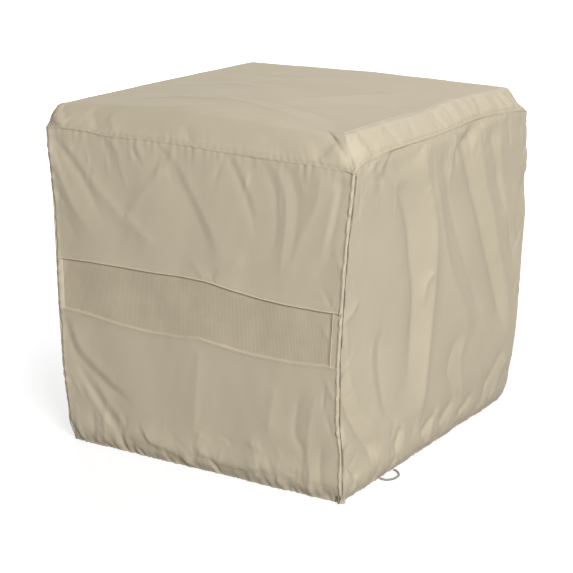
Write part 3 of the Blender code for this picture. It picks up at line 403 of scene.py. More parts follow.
COATS = {"filter_paint": (0.25, 0.15), "lens": (0.6, 0.06)}


def finish_materials():
    """One material for each finish that the record names, but the cover's own."""
    made = {}
    for name, settings in HARD_FINISHES.items():
        weight, coat_roughness = COATS.get(name, (None, None))
        coat = {"Coat_Weight": weight, "Coat_Roughness": coat_roughness} if weight else {}
        made[name] = worn(name, *settings, **coat)
    made["steel"] = drawn_metal("steel", (0.56, 0.56, 0.57), 0.32, (1, 14, 14))
    made["heated_steel"] = heated_metal()
    made["brass"] = drawn_metal("brass", (0.72, 0.52, 0.24), 0.30, (1, 1, 18))
    return made


# ---------------------------------------------------------------- the cover's plan and levels

WALL = 0.66                     # length that the columns of each wall are spaced for
SEAM_SET = 0.007                # each upright seam, from the corner
NEAR_SET = 0.0016               # the one at the front right corner, where the front ends
WALL_RADII = (0.013, 0.0010, 0.014, 0.014)      # of the corners, from the front left one round to the right

# Corners of the cover seen from above, at several heights
HEIGHTS = metres([0, 34, 100, 155, 270, 410, 490, 560, 612, 625])
FRONT_LEFT = metres([(-302.5, -330), (-306.5, -332), (-314, -334), (-318, -335), (-322, -336), (-324, -336),
                     (-325, -336), (-329, -336), (-335, -335), (-334, -334)])
FRONT_RIGHT = metres([(316, -331), (318, -333), (318, -334), (312, -334), (314, -335), (324, -336),
                      (331, -336), (340, -336), (345, -336), (343, -334)])
REAR_RIGHT = metres([(312, 334), (319, 337), (330, 342), (335, 344), (340, 346), (346, 346), (343, 344),
                     (345, 344), (344, 343), (340, 340)])
REAR_LEFT = metres([(-308, 322), (-316, 328), (-326, 334), (-330, 336), (-332, 337), (-334, 337),
                    (-334, 337), (-335, 337), (-335, 337), (-333, 335)])
TOP_CORNERS = metres([(-309, -317), (318, -324), (314, 303), (-306, 323)])

# Height of the cap's top edge along each side: the cloth stands highest over the middle of the front
RIM_FRONT = metres([(-330, 665.5), (-220, 669.5), (-140, 675.5), (-30, 682.5), (60, 681), (160, 676.5),
                    (280, 668), (330, 667.5)])
RIM_RIGHT = metres([(-330, 666.5), (-170, 667), (-10, 662.5), (70, 669.5), (190, 665.5), (330, 660.5)])
RIM_REAR = metres([(-330, 660.5), (0, 666), (330, 662)])
RIM_LEFT = metres([(-330, 662), (0, 665), (330, 665)])

# Height of the cap's seam along each wall, and of the vent's two edges along the front
SEAM_FRONT = metres([(-345, 612), (-300, 622), (-230, 621), (-195, 616), (-110, 619), (-20, 618), (60, 614),
                     (150, 611), (260, 611), (305, 608), (345, 603)])
SEAM_RIGHT = metres([(-345, 604), (-315, 618), (-240, 624), (-60, 623), (108, 627), (190, 625), (284, 616),
                     (345, 606)])
SEAM_REAR = metres([(-345, 606), (-250, 621), (0, 618), (200, 622), (345, 610)])
SEAM_LEFT = metres([(-345, 610), (-220, 620), (50, 616), (250, 620), (345, 612)])
VENT_TOP = metres([(-345, 370), (-300, 372), (-230, 375), (-100, 374), (-30, 376), (30, 375), (50, 373),
                   (90, 367), (150, 360), (210, 357), (287, 356), (345, 358)])
VENT_BASE = metres([(-345, 273), (-300, 273), (-238, 269), (-186, 263), (-100, 257), (-33, 259), (17, 264),
                    (50, 260), (105, 254), (150, 252), (230, 252), (290, 257), (345, 258)])
VENT_TOP_LEVEL, VENT_BASE_LEVEL = 0.366, 0.262  # the same rows round the other walls
SEAM_LEVEL = 0.614                              # about the middle height of the cap's seam
VENT_LEFT, VENT_RIGHT = -0.311, 0.306

# Stitch lines: over the seam, over the hem, over the vent, under it, and from each upright seam
SEAM_STITCHES = (0.0016, 0.0063)
HEM_STITCH = 0.0275
VENT_STITCHES = (0.0052, 0.0046)
CORNER_STITCH = 0.0065


def eased(table, at):
    """The table's value at a place, with the turns between its straight stretches rounded."""
    xs, ys = table.T
    spread = np.linspace(-0.012, 0.012, 7)
    return np.mean([np.interp(at + s, xs, ys) for s in spread], axis=0)


column_places = np.concatenate([
    graded(SEAM_SET, 0.0009, 0.003),
    SEAM_SET + graded(WALL - 2 * SEAM_SET, 0.0009, 0.0034)[1:],
    WALL - SEAM_SET + graded(SEAM_SET, 0.0009, 0.003)[1:-1],
])
PER_WALL = len(column_places)
COLUMNS = 4 * PER_WALL
wall_of = np.repeat(np.arange(4), PER_WALL)     # 0 front, 1 right, 2 rear, 3 left
share_of = np.tile(column_places / WALL, 4)
along_wall = (share_of - 0.5) * WALL            # from the wall's middle, to the right as seen from outside
front = wall_of == 0


def corners_at(z):
    """The four corners at height z, in the order front left, front right, rear right, rear left."""
    return [np.array([np.interp(z, HEIGHTS, row[:, axis]) for axis in (0, 1)])
            for row in (FRONT_LEFT, FRONT_RIGHT, REAR_RIGHT, REAR_LEFT)]


def square_to(way):
    """The direction to the right of a way, seen from above."""
    way = way / np.linalg.norm(way)
    return np.array([way[1], -way[0]])


def section(corners, radii, flat=0.0):
    """Points and outward directions of every column round one level of the cover. radii are those of the
    corners, in the same order, and flat is the share by which a corner is cut off straight, not rounded."""
    points = np.zeros((COLUMNS, 2))
    outward = np.zeros((COLUMNS, 2))
    for wall in range(4):
        a, b = corners[wall], corners[(wall + 1) % 4]
        length = np.linalg.norm(b - a)
        out = square_to(b - a)
        out_before = square_to(a - corners[wall - 1])
        out_after = square_to(corners[(wall + 2) % 4] - b)
        at = slice(wall * PER_WALL, (wall + 1) * PER_WALL)
        share = share_of[at]
        place = a + share[:, None] * (b - a)
        normal = np.tile(out, (PER_WALL, 1))
        for near, corner, other, radius in ((share * length, a, out_before, radii[wall]),
                                            ((1 - share) * length, b, out_after, radii[(wall + 1) % 4])):
            inside = near < radius
            turn = np.radians(45.0) * (1.0 - near[inside] / radius)
            direction = np.cos(turn)[:, None] * out + np.sin(turn)[:, None] * other
            centre = corner - radius * (out + other)
            arc = centre + radius * direction
            s = (near[inside] / radius)[:, None]
            chord = (centre + radius * 0.5 * (out + other)) * (1 - s) + (centre + radius * out) * s
            place[inside] = (1 - flat) * arc + flat * chord
            normal[inside] = direction
        points[at] = place
        outward[at] = normal
    return points, outward


# ---------------------------------------------------------------- folds

# Each fold's height and its widths to the left and right in mm, the shares of its length over which it grows
# and fades, and its points: mm along the wall from its middle, and mm up
FRONT_FOLDS = [
    (-5, 13, 9, 0.08, 0.5, (-318, 604), (-286, 580), (-262, 553), (-240, 520), (-217, 482), (-192, 435)),
    (4, 10, 13, 0.08, 0.5, (-292, 604), (-251, 562), (-215, 520), (-181, 490), (-157, 465), (-133, 446),
     (-90, 418)),
    (5, 13, 11, 0.08, 0.5, (-324, 600), (-308, 554), (-287, 505), (-265, 468), (-240, 441), (-212, 412)),
    (-2.5, 12, 12, 0.4, 0.4, (-300, 480), (-285, 440), (-262, 405)),
    (3, 7, 9, 0.1, 0.25, (-34, 612), (-56, 577), (-90, 540), (-138, 487), (-156, 468)),
    (-2.4, 9, 9, 0.1, 0.5, (-60, 612), (-82, 575), (-118, 535)),
    (2.4, 6, 6, 0.08, 0.5, (-180, 614), (-160, 588), (-163, 553)),
    (-1.8, 6, 6, 0.08, 0.5, (-196, 614), (-182, 585), (-188, 560)),
    (1.7, 5, 5, 0.08, 0.5, (-122, 614), (-102, 578)),
    (1.7, 5, 5, 0.08, 0.5, (-80, 614), (-62, 588)),
    (2.6, 6, 7, 0.4, 0.05, (124, 436), (90, 408), (52, 379)),
    (2.2, 8, 6, 0.4, 0.05, (-5, 420), (12, 398), (30, 379)),
    (-2, 5, 5, 0.4, 0.1, (60, 400), (44, 385)),
    (3, 7, 9, 0.1, 0.4, (-152, 478), (-113, 445), (-77, 424)),
    (-3, 12, 15, 0.1, 0.3, (-70, 610), (-52, 590), (-9, 523), (26, 463), (46, 405)),
    (2.6, 9, 9, 0.15, 0.3, (-36, 596), (14, 517), (50, 458), (62, 405)),
    (-3, 8, 7, 0.08, 0.4, (72, 612), (90, 588), (99, 570), (117, 536), (131, 499), (139, 460)),
    (2.4, 7, 8, 0.08, 0.5, (90, 612), (107, 580), (128, 540), (146, 495)),
    (-2.6, 8, 9, 0.1, 0.3, (146, 610), (172, 560), (181, 497), (172, 425)),
    (2.7, 7, 8, 0.1, 0.2, (166, 608), (194, 559), (201, 491), (192, 400)),
    (-2, 8, 8, 0.1, 0.3, (194, 608), (218, 552), (221, 490), (212, 415)),
    (2.6, 9, 9, 0.1, 0.3, (266, 606), (256, 533), (231, 476), (208, 405)),
    (2, 5, 6, 0.1, 0.4, (294, 590), (286, 510), (272, 440)),
    (-3, 5, 5, 0.1, 0.4, (306, 600), (298, 520), (286, 440)),
    (-4, 7, 7, 0.15, 0.2, (-292, 172), (-240, 104), (-187, 36)),
    (3.2, 6, 6, 0.2, 0.3, (-278, 130), (-250, 92), (-222, 50)),
    (3, 6, 6, 0.2, 0.3, (-246, 140), (-212, 98), (-176, 56)),
    (2, 8, 10, 0.1, 0.2, (20, 252), (6, 142), (-13, 36)),
    (2.6, 9, 9, 0.3, 0.3, (191, 214), (180, 155), (164, 94)),
    (-4.5, 8, 10, 0.08, 0.3, (-312, 258), (-292, 195), (-266, 168), (-234, 147), (-206, 129), (-171, 113),
     (-146, 88)),
    (3.6, 11, 9, 0.15, 0.4, (-296, 250), (-272, 200), (-246, 176), (-214, 154), (-180, 134), (-150, 116)),
    (3.2, 7, 6, 0.3, 0.05, (-217, 105), (-231, 56), (-236, 4)),
    (-3.2, 5, 4, 0.35, 0.05, (-194, 86), (-190, 45), (-192, 0)),
    (-2.6, 5, 4, 0.35, 0.05, (-262, 78), (-260, 40), (-266, 0)),
    (2.6, 8, 7, 0.4, 0.1, (122, 110), (134, 70), (147, 34)),
    (-3.6, 9, 6, 0.35, 0.05, (246, 212), (238, 170), (228, 118), (243, 86), (236, 24)),
    (3.8, 8, 15, 0.3, 0.05, (286, 225), (272, 172), (254, 94), (258, 40), (262, 2)),
    (-3, 6, 6, 0.4, 0.05, (288, 120), (280, 70), (286, 10)),
]

# The same, but height, spread and width of the step
FRONT_LEDGES = [
    (6, 26, 3, 0.25, 0.05, (-148, 76), (-139, 64), (-114, 36), (-81, 29), (-48, 20), (-12, -2)),
    (5, 20, 3, 0.2, 0.35, (-26, 52), (12, 36), (57, 24), (110, 26), (150, 33), (196, 46)),
]

RIGHT_FOLDS = [
    (-9, 32, 17, 0.06, 0.3, (-236, 612), (-190, 570), (-142, 515), (-118, 460), (-105, 400), (-90, 345),
     (-86, 280), (-96, 200), (-118, 130)),
    (7, 14, 20, 0.06, 0.15, (-112, 614), (-86, 560), (-58, 500), (-40, 440), (-32, 370), (-30, 290),
     (-42, 200), (-55, 120), (-62, 60)),
    (6, 12, 15, 0.15, 0.2, (-58, 560), (-30, 490), (0, 412), (38, 335), (98, 252), (150, 185)),
    (-4, 14, 16, 0.1, 0.25, (-30, 600), (0, 530), (36, 450), (78, 370), (140, 270), (190, 180)),
    (-10, 26, 18, 0.06, 0.2, (50, 614), (84, 550), (112, 495), (140, 440), (164, 390), (206, 310),
     (240, 240), (276, 150)),
    (6, 14, 20, 0.06, 0.25, (100, 614), (132, 550), (156, 495), (184, 440), (212, 370), (250, 290),
     (282, 210), (302, 140)),
    (3, 7, 7, 0.1, 0.5, (-36, 368), (-55, 343), (-56, 290)),
    (3.6, 16, 12, 0.15, 0.4, (190, 600), (214, 520), (240, 440), (268, 340)),
    (-3.6, 12, 12, 0.1, 0.3, (156, 612), (190, 540), (222, 460), (262, 380), (310, 260)),
    (3.4, 9, 12, 0.1, 0.4, (-212, 612), (-184, 575), (-140, 540)),
    (-3, 7, 7, 0.1, 0.4, (-262, 612), (-250, 588), (-226, 566)),
    (2.6, 7, 6, 0.1, 0.5, (-290, 612), (-272, 580), (-250, 556)),
    (2.6, 6, 7, 0.1, 0.5, (23, 612), (10, 560), (20, 500)),
    (-2.6, 6, 6, 0.1, 0.5, (40, 616), (34, 580), (40, 540)),
    (-2.4, 5, 5, 0.1, 0.5, (-110, 614), (-100, 590), (-84, 570)),
    (-2.4, 5, 5, 0.1, 0.5, (80, 618), (92, 590), (98, 565)),
    (2.2, 5, 5, 0.1, 0.5, (134, 618), (142, 592), (156, 570)),
    (-2.6, 5, 5, 0.1, 0.5, (232, 612), (244, 585), (250, 545)),
    (-4.5, 16, 11, 0.25, 0.2, (-187, 306), (-205, 256), (-185, 151), (-155, 110), (-135, 64)),
    (2.4, 10, 10, 0.25, 0.3, (-212, 300), (-232, 252), (-212, 165), (-184, 110)),
    (-2.6, 11, 9, 0.2, 0.2, (92, 215), (62, 183), (47, 140), (72, 95), (92, 50)),
    (2.2, 10, 9, 0.25, 0.25, (118, 205), (92, 165), (96, 120), (120, 70)),
    (-3.2, 8, 9, 0.2, 0.1, (280, 130), (240, 94), (216, 68), (208, 22)),
    (2.2, 9, 9, 0.2, 0.1, (304, 110), (268, 74), (246, 20)),
    (-3.8, 5, 6, 0.2, 0.2, (160, 70), (140, 52), (110, 38), (80, 30)),
    (-3.8, 5, 6, 0.2, 0.2, (80, 72), (50, 60), (20, 40)),
    (-4, 5, 6, 0.2, 0.2, (10, 73), (-22, 60), (-52, 40)),
    (2.8, 8, 8, 0.3, 0.1, (30, 90), (-6, 60), (-20, 10)),
    (-4, 4, 5, 0.2, 0.2, (-120, 85), (-133, 64), (-148, 40)),
    (2, 7, 7, 0.3, 0.1, (-105, 90), (-116, 45), (-120, 5)),
    (-8, 14, 9, 0.1, 0.2, (-334, 250), (-302, 174), (-262, 110), (-208, 46)),
    (3, 8, 9, 0.1, 0.2, (-330, 150), (-300, 104), (-262, 62), (-226, 20)),
    (4.5, 10, 10, 0.15, 0.3, (-318, 262), (-280, 184), (-236, 124), (-190, 76)),
    (-5, 8, 8, 0.15, 0.2, (-332, 110), (-306, 70), (-276, 30)),
    (4, 7, 7, 0.2, 0.1, (-318, 62), (-296, 30), (-290, 4)),
    (2, 6, 5, 0.1, 0.5, (-330, 342), (-306, 352), (-276, 384)),
    (-4.5, 4, 6, 0.1, 0.2, (296, 612), (314, 594), (330, 584)),
    (4, 14, 14, 0.2, 0.3, (335, 540), (336, 500), (334, 480)),
    (-4.5, 12, 12, 0.1, 0.5, (335, 478), (320, 462), (295, 450)),
]

# On the cap, the second number of a point is the height above the seam
CAP_FRONT_FOLDS = [
    (-3, 4, 5, 0.1, 0.3, (-318, 42), (-302, 30), (-286, 18)),
    (3, 5, 5, 0.1, 0.3, (-326, 30), (-306, 16), (-282, 8)),
    (-3.5, 4, 4, 0.1, 0.4, (-330, 10), (-312, 6), (-290, 4)),
    (-2, 9, 9, 0.2, 0.2, (-245, 40), (-222, 20), (-205, 4)),
    (1.8, 7, 7, 0.2, 0.2, (-195, 40), (-180, 24), (-168, 8)),
    (-1.6, 8, 8, 0.2, 0.2, (-20, 36), (-8, 18), (0, 4)),
    (-5, 10, 16, 0.05, 0.4, (306, 52), (280, 30), (246, 8)),
    (2.5, 5, 6, 0.1, 0.2, (304, 40), (278, 20), (258, 6)),
]
CAP_RIGHT_FOLDS = [
    (-3.6, 4, 4, 0.1, 0.2, (300, 40), (296, 24), (288, 4)),
    (3, 4, 4, 0.1, 0.2, (285, 44), (280, 26), (272, 6)),
    (3, 4, 4, 0.1, 0.2, (250, 40), (243, 22), (234, 4)),
    (2.6, 4, 4, 0.1, 0.2, (152, 44), (136, 26), (114, 6)),
    (2.4, 4, 4, 0.1, 0.2, (62, 44), (56, 22), (50, 4)),
    (-2.2, 5, 5, 0.1, 0.3, (-110, 40), (-118, 22), (-130, 4)),
    (-2.6, 6, 6, 0.1, 0.3, (-200, 46), (-190, 24), (-176, 4)),
    (-3.2, 4, 5, 0.1, 0.2, (268, 44), (262, 26), (255, 6)),
    (-3, 4, 5, 0.1, 0.2, (236, 36), (226, 20), (215, 4)),
    (2.4, 5, 5, 0.1, 0.2, (205, 42), (192, 24), (180, 6)),
    (-3.2, 5, 5, 0.1, 0.2, (178, 44), (156, 24), (130, 4)),
    (-2.6, 5, 5, 0.1, 0.2, (92, 44), (82, 22), (74, 4)),
    (2.2, 6, 6, 0.1, 0.2, (112, 40), (102, 20), (98, 4)),
    (-2.4, 5, 5, 0.1, 0.2, (40, 42), (34, 20), (30, 4)),
    (-2.6, 5, 6, 0.1, 0.2, (-12, 44), (-12, 22), (-6, 4)),
    (-2, 5, 5, 0.1, 0.2, (-34, 36), (-30, 20), (-30, 4)),
    (3.4, 6, 6, 0.05, 0.1, (-312, 44), (-298, 24), (-284, 4)),
    (-2.6, 8, 8, 0.1, 0.3, (-294, 46), (-268, 24), (-250, 6)),
]


def chance_folds(seed, count=9, top=612.0, longest=420.0, spread=100.0):
    """Soft upright folds for the walls away from the camera, always the same for one seed."""
    dice = np.random.RandomState(seed)
    made = []
    for i in range(count):
        start = -290 + 580 * (i + 0.3 + 0.4 * dice.rand()) / count
        low = top - (120 + (longest - 120) * dice.rand())
        lean = spread * (dice.rand() - 0.5)
        height = (2.0 + 3.0 * dice.rand()) * (1 if i % 2 else -1)
        width = 8 + 8 * dice.rand()
        middle = (start + 0.6 * lean, (top + low) / 2)
        made.append((height, width, width, 0.08, 0.5, (start, top), middle, (start + lean, low)))
    for i in range(count):
        start = -280 + 560 * (i + 0.3 + 0.4 * dice.rand()) / count
        rise = 50 + 100 * dice.rand()
        lean = 50 * (dice.rand() - 0.5)
        height = (3.0 + 2.5 * dice.rand()) * (1 if i % 2 else -1)
        middle = (start + 0.3 * lean, rise / 2)
        made.append((height, 6, 7, 0.4, 0.05, (start + lean, rise), middle, (start, 0.0)))
    return made


FOLD_SCALE = (0.66, 1.35, 1.1, 1.1)
WALL_FOLDS = [FRONT_FOLDS, RIGHT_FOLDS, chance_folds(11), chance_folds(23)]
CAP_FOLDS = [CAP_FRONT_FOLDS, CAP_RIGHT_FOLDS, [], []]


def gathers(seed, u, z):
    """Small puckers that the elastic draws into the hem."""
    dice = np.random.RandomState(seed)
    total = np.zeros(u.shape)
    at = -0.325
    while at < 0.325:
        tall = 0.014 + 0.040 * dice.rand() ** 2
        wide = 0.0028 + 0.0022 * dice.rand()
        lean = 0.9 * (dice.rand() - 0.5)
        height = (1.4 + 2.4 * dice.rand()) * MM * (1 if dice.rand() > 0.42 else -1.2)
        grow = wide * (1.0 + 0.9 * np.maximum(z, 0.0) / tall)
        fade = bell(np.maximum(z, 0.0), 0.0, tall) * (0.4 + 0.6 * smooth(z / 0.014))
        total += height * bell(u - lean * z, at, grow) * fade
        at += 0.008 + 0.010 * dice.rand()
    return total


# Fine creases: first seed, how many, lowest and highest place, greatest lean, reach, and place along the wall
CRINKLES = [
    (110, 46, 0.012, 0.085, 1.2, 0.013, (-0.322, 0.322)),   # over the hem
    (120, 18, 0.530, 0.600, 0.6, 0.018, (-0.322, 0.322)),   # under the cap's seam
    (130, 16, 0.02, 0.58, 0.9, 0.020, (0.290, 0.326)),      # beside the corners
    (140, 16, 0.02, 0.58, 0.9, 0.020, (-0.326, -0.290)),
]
CAP_CRINKLES = (34, 0.004, 0.040, 0.6, 0.010, (-0.322, 0.322))
CAP_CRINKLE_SHARES = (0.2, 0.9, 0.6, 0.6)


def crinkles(seed, u, z, count, low, high, lean, reach, side):
    """Short fine creases scattered over a stretch of wall, up to lean radians from upright."""
    dice = np.random.RandomState(seed)
    total = np.zeros(u.shape)
    for _ in range(count):
        at, up = dice.uniform(*side), dice.uniform(low, high)
        angle = lean * dice.uniform(-1, 1)
        wide, tall = 0.0024 + 0.0022 * dice.rand(), reach * (0.5 + dice.rand())
        height = (0.5 + 0.9 * dice.rand()) * MM * (1 if dice.rand() > 0.5 else -1.2)
        across = (u - at) * math.cos(angle) - (z - up) * math.sin(angle)
        along = (u - at) * math.sin(angle) + (z - up) * math.cos(angle)
        total += height * np.exp(-(across / wide) ** 2 - (along / tall) ** 2)
    return total


WAVES, WAVE_SUM, FULL_TURN = 14, 3.2, 6.283


def slow_waves(seed, u, z, across, up):
    """A gentle unevenness with no sharp edges, between about -1 and 1."""
    dice = np.random.RandomState(seed)
    total = np.zeros(u.shape)
    for _ in range(WAVES):
        ku = 2 * math.pi / (across * (0.6 + dice.rand()))
        kz = 2 * math.pi / (up * (0.6 + dice.rand())) * (1 if dice.rand() > 0.5 else -1)
        total += np.sin(ku * u + kz * z + FULL_TURN * dice.rand()) * (0.4 + 0.6 * dice.rand())
    return total / WAVE_SUM


def short_of(u, reach, over):
    """1 along a wall, and 0 past a reach from its middle, with a soft step between."""
    return smooth((reach - np.abs(u)) / over)


# ---------------------------------------------------------------- the cover's grid of points

seam_height = np.zeros(COLUMNS)
rim_height = np.zeros(COLUMNS)
for wall, (seam_table, rim_table) in enumerate(((SEAM_FRONT, RIM_FRONT), (SEAM_RIGHT, RIM_RIGHT),
                                                (SEAM_REAR, RIM_REAR), (SEAM_LEFT, RIM_LEFT))):
    at = wall_of == wall
    seam_height[at] = eased(seam_table, along_wall[at])
    rim_height[at] = eased(rim_table, along_wall[at])

# The vent's edges are level on the other walls, and run into that level at the front's two ends
front_ends = np.where(front, short_of(along_wall, 0.345, 0.02), 0.0)
vent_top = VENT_TOP_LEVEL + (eased(VENT_TOP, along_wall) - VENT_TOP_LEVEL) * front_ends
vent_base = VENT_BASE_LEVEL + (eased(VENT_BASE, along_wall) - VENT_BASE_LEVEL) * front_ends

# Rows: shares 0 to 1 hem to vent, 1 to 2 the vent, 2 to 3 vent to seam
ROW_GAP = 0.0056        # the widest


def row_shares(length, fine):
    return graded(length, fine, ROW_GAP) / length


hem_rows = row_shares(VENT_BASE_LEVEL, 0.0015)
vent_rows = row_shares(VENT_TOP_LEVEL - VENT_BASE_LEVEL, 0.0012)
upper_rows = row_shares(SEAM_LEVEL - VENT_TOP_LEVEL, 0.0011)
row_places = np.concatenate([hem_rows[:-1], 1 + vent_rows[:-1], 2 + upper_rows])
ROWS = len(row_places)
VENT_ROW_LOW = len(hem_rows) - 1
VENT_ROW_HIGH = VENT_ROW_LOW + len(vent_rows) - 1

levels = np.zeros((ROWS, COLUMNS))
for r, place in enumerate(row_places):
    if place < 1:
        levels[r] = place * vent_base
    elif place < 2:
        levels[r] = vent_base + (place - 1) * (vent_top - vent_base)
    else:
        levels[r] = vent_top + (place - 2) * (seam_height - vent_top)


def level_points(z):
    """Points and outward directions of all columns, each column at its own height."""
    if z.max() - z.min() <= 1e-6:
        return section(corners_at(z[0]), WALL_RADII)
    heights = np.linspace(z.min(), z.max(), 3)
    sampled = [section(corners_at(h), WALL_RADII) for h in heights]
    blended = []
    for kind in (0, 1):
        stack = np.array([s[kind] for s in sampled])
        blended.append(np.array([[np.interp(z[c], heights, stack[:, c, axis]) for axis in (0, 1)]
                                 for c in range(COLUMNS)]))
    return blended


def seam_band(rise, proud=1.0):
    """Profile across the cap's seam: rise is the height above the seam, in mm. The cap's edge is turned under
    and stitched down twice, so it stands proud of the wall under it, with a groove along each line of
    stitches."""
    step = 1.3 * proud * smooth((rise + 0.9) / 1.4)
    fall = smooth((rise - 6.0) / 12.0)
    low_stitches, high_stitches = (1000 * place for place in SEAM_STITCHES)
    grooves = 0.9 * bell(rise, low_stitches, 0.55) + 1.1 * bell(rise, high_stitches, 0.8)
    return (step * (1 - 0.75 * fall) - grooves) * MM


def corner_seam(distance, left, right):
    """Profile across an upright seam: a narrow crease between two soft lips. Distance in mm from the seam."""
    crease = -5.5 * np.exp(-(np.abs(distance) / 1.25) ** 2.2)
    return (crease + left * bell(distance, -4.0, 2.6) + right * bell(distance, 5.2, 3.8)) * MM


wall_points = np.zeros((ROWS, COLUMNS, 3))
wall_normals = np.zeros((ROWS, COLUMNS, 2))
wall_points[:, :, 2] = levels
for r in range(ROWS):
    wall_points[r, :, :2], outward = level_points(levels[r])
    wall_normals[r] = outward / np.linalg.norm(outward, axis=1)[:, None]

# Slow unevenness: first seed, height in mm, and the lengths of its waves along the wall and up it
WALL_WAVES = [(40, 1.1, 0.22, 0.55), (50, 0.16, 0.055, 0.16)]

# Everything that moves the cloth in or out of its plain wall, in metres
push = np.zeros((ROWS, COLUMNS))
for wall in range(4):
    at = np.where(wall_of == wall)[0]
    u = np.tile(along_wall[at], (ROWS, 1))
    z = levels[:, at]
    part = FOLD_SCALE[wall] * sum(fold(u, z, *row) for row in WALL_FOLDS[wall])
    if wall == 0:
        part += FOLD_SCALE[wall] * sum(ledge(u, z, *row) for row in FRONT_LEDGES)
    for seed, height, across, up in WALL_WAVES:
        part += height * MM * slow_waves(seed + wall, u, z, across, up)
    for seed, *settings in CRINKLES:
        part += crinkles(seed + wall, u, z, *settings)
    under = np.maximum(seam_height[at][None, :] - z, 0.0)
    part += 0.7 * MM * slow_waves(60 + wall, u, z * 0.2, 0.016, 0.2) * np.exp(-under / 0.016)
    part *= short_of(u, 0.334, 0.012)
    part += gathers(70 + wall, u, z) * short_of(u, 0.338, 0.006)
    push[:, at] = part

# The hem is drawn in by its elastic, and the cloth bellies a little above it
HEM_DRAW, HEM_BELLY, HEM_BELLY_RIGHT, HEM_STITCH_SINK = 8.0, 2.4, 1.2, 0.7
push -= HEM_DRAW * MM * np.exp(-(levels / 0.015) ** 1.8)
push += np.where(wall_of == 1, HEM_BELLY_RIGHT, HEM_BELLY)[None, :] * MM * bell(levels, 0.042, 0.022)
push -= HEM_STITCH_SINK * MM * bell(levels, HEM_STITCH, 0.0014)


def sway(seed, z, length):
    """slow_waves of the height alone."""
    return slow_waves(seed, z * 0.0, z, 1.0, length)


# Upright seams: at the front right corner the seam ends the front, and the others lie on the wall after their
# corner. Wall, place from the wall's middle, and the heights of the two lips in mm
for wall, seam_at, left, right in ((0, WALL / 2 - NEAR_SET, 2.0, 0.0), (0, SEAM_SET - WALL / 2, 0.8, 1.2),
                                   (2, SEAM_SET - WALL / 2, 0.8, 1.2), (3, SEAM_SET - WALL / 2, 0.8, 1.2)):
    at = np.where(wall_of == wall)[0]
    z = levels[:, at]
    wander = 0.7 * sway(80 + wall, z, 0.11) + 0.45 * sway(82 + wall, z, 0.028)
    pucker = 1.0 + 1.1 * sway(84 + wall, z, 0.026)
    across = (along_wall[at][None, :] - seam_at) * 1000.0 - wander
    push[:, at] += corner_seam(across, left * pucker, right * (2.0 - pucker)) * smooth((z + 0.004) / 0.020)

# The wall steps back under the cap's turned edge, most of all at the near corner
rise = (levels - seam_height[None, :]) * 1000.0
near_corner = np.where(front, bell(along_wall, 0.330, 0.014), 0.0)
near_corner += np.where(wall_of == 1, bell(along_wall, -0.330, 0.010), 0.0)
proud = 1.0 + 1.7 * near_corner
push += seam_band(rise, proud[None, :])

# The vent's net lies behind the cloth, which is turned under along both its edges
mesh_columns = np.where(front & (along_wall > VENT_LEFT) & (along_wall < VENT_RIGHT))[0]
below = (levels - vent_base[None, :]) * 1000.0
above = (levels - vent_top[None, :]) * 1000.0
inside_ends = smooth((along_wall - VENT_LEFT) / 0.003) * smooth((VENT_RIGHT - along_wall) / 0.003)
end_strip = smooth((along_wall + 0.324) / 0.003) * smooth((VENT_LEFT - along_wall) / 0.002)
soft_ends = short_of(along_wall, 0.329, 0.012)
within = smooth((below - 0.2) / 1.6) * smooth((-above - 0.2) / 1.6)
upper_edge = smooth(above + 0.4) * np.exp(-np.maximum(above, 0) / 9.0)
lower_edge = smooth(0.4 - below) * np.exp(-np.maximum(-below, 0) / 7.0)
upper_groove = bell(above, 1000 * VENT_STITCHES[0], 0.8)
lower_groove = bell(below, -1000 * VENT_STITCHES[1], 0.8)
UPPER_RISE, LOWER_RISE, STRIP_RISE, NET_SINK = 2.0, 1.6, 1.8, 1.7      # mm
binding = UPPER_RISE * upper_edge - 0.9 * upper_groove + LOWER_RISE * lower_edge - 0.7 * lower_groove
vent_push = binding * soft_ends + within * (STRIP_RISE * end_strip - NET_SINK * inside_ends)
push += np.where(front, vent_push, 0.0) * MM

wall_points[:, :, :2] += wall_normals * push[:, :, None]

# The hem's lower edge lifts and dips a little where it is gathered, and turns under
ring_place = along_wall + wall_of * WALL
hem_lift = 0.0006 + 0.0015 * np.abs(slow_waves(90, ring_place, np.zeros(COLUMNS), 0.024, 1.0))
wall_points[:, :, 2] += hem_lift[None, :] * np.exp(-levels / 0.012)

# The cloth lies outside the pad that the unit stands on
PAD_TOP = 0.034
PAD_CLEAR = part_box("mounting_pad")[1][0] + 0.0016
PAD_SIDE = np.array([(0, -1), (1, 0), (0, 1), (-1, 0)])


def clear_of_pad(ring, clearance):
    """The ring with every point that would be inside the pad moved out through its nearest side."""
    across = (ring[:, :2] * PAD_SIDE[wall_of]).sum(axis=1)
    short = np.where(ring[:, 2] < PAD_TOP, np.maximum(clearance - across, 0.0), 0.0)
    ring = ring.copy()
    ring[:, :2] += PAD_SIDE[wall_of] * short[:, None]
    return ring


for r in range(ROWS):
    if levels[r].min() < PAD_TOP:
        wall_points[r] = clear_of_pad(wall_points[r], PAD_CLEAR)

# Under the hem and up inside: a turned edge that holds the elastic. Distance inwards, and height from the hem
turned_under = []
for inward, height in ((0.0046, 0.0220), (0.0050, 0.0130), (0.0048, 0.0040), (0.0036, 0.0002),
                       (0.0016, -0.0009)):
    ring = wall_points[0].copy()
    ring[:, :2] -= wall_normals[0] * inward
    ring[:, 2] = np.maximum(ring[:, 2] + height, 0.0004)
    turned_under.append(clear_of_pad(ring, PAD_CLEAR - 0.0012))

# ---------------------------------------------------------------- the cap

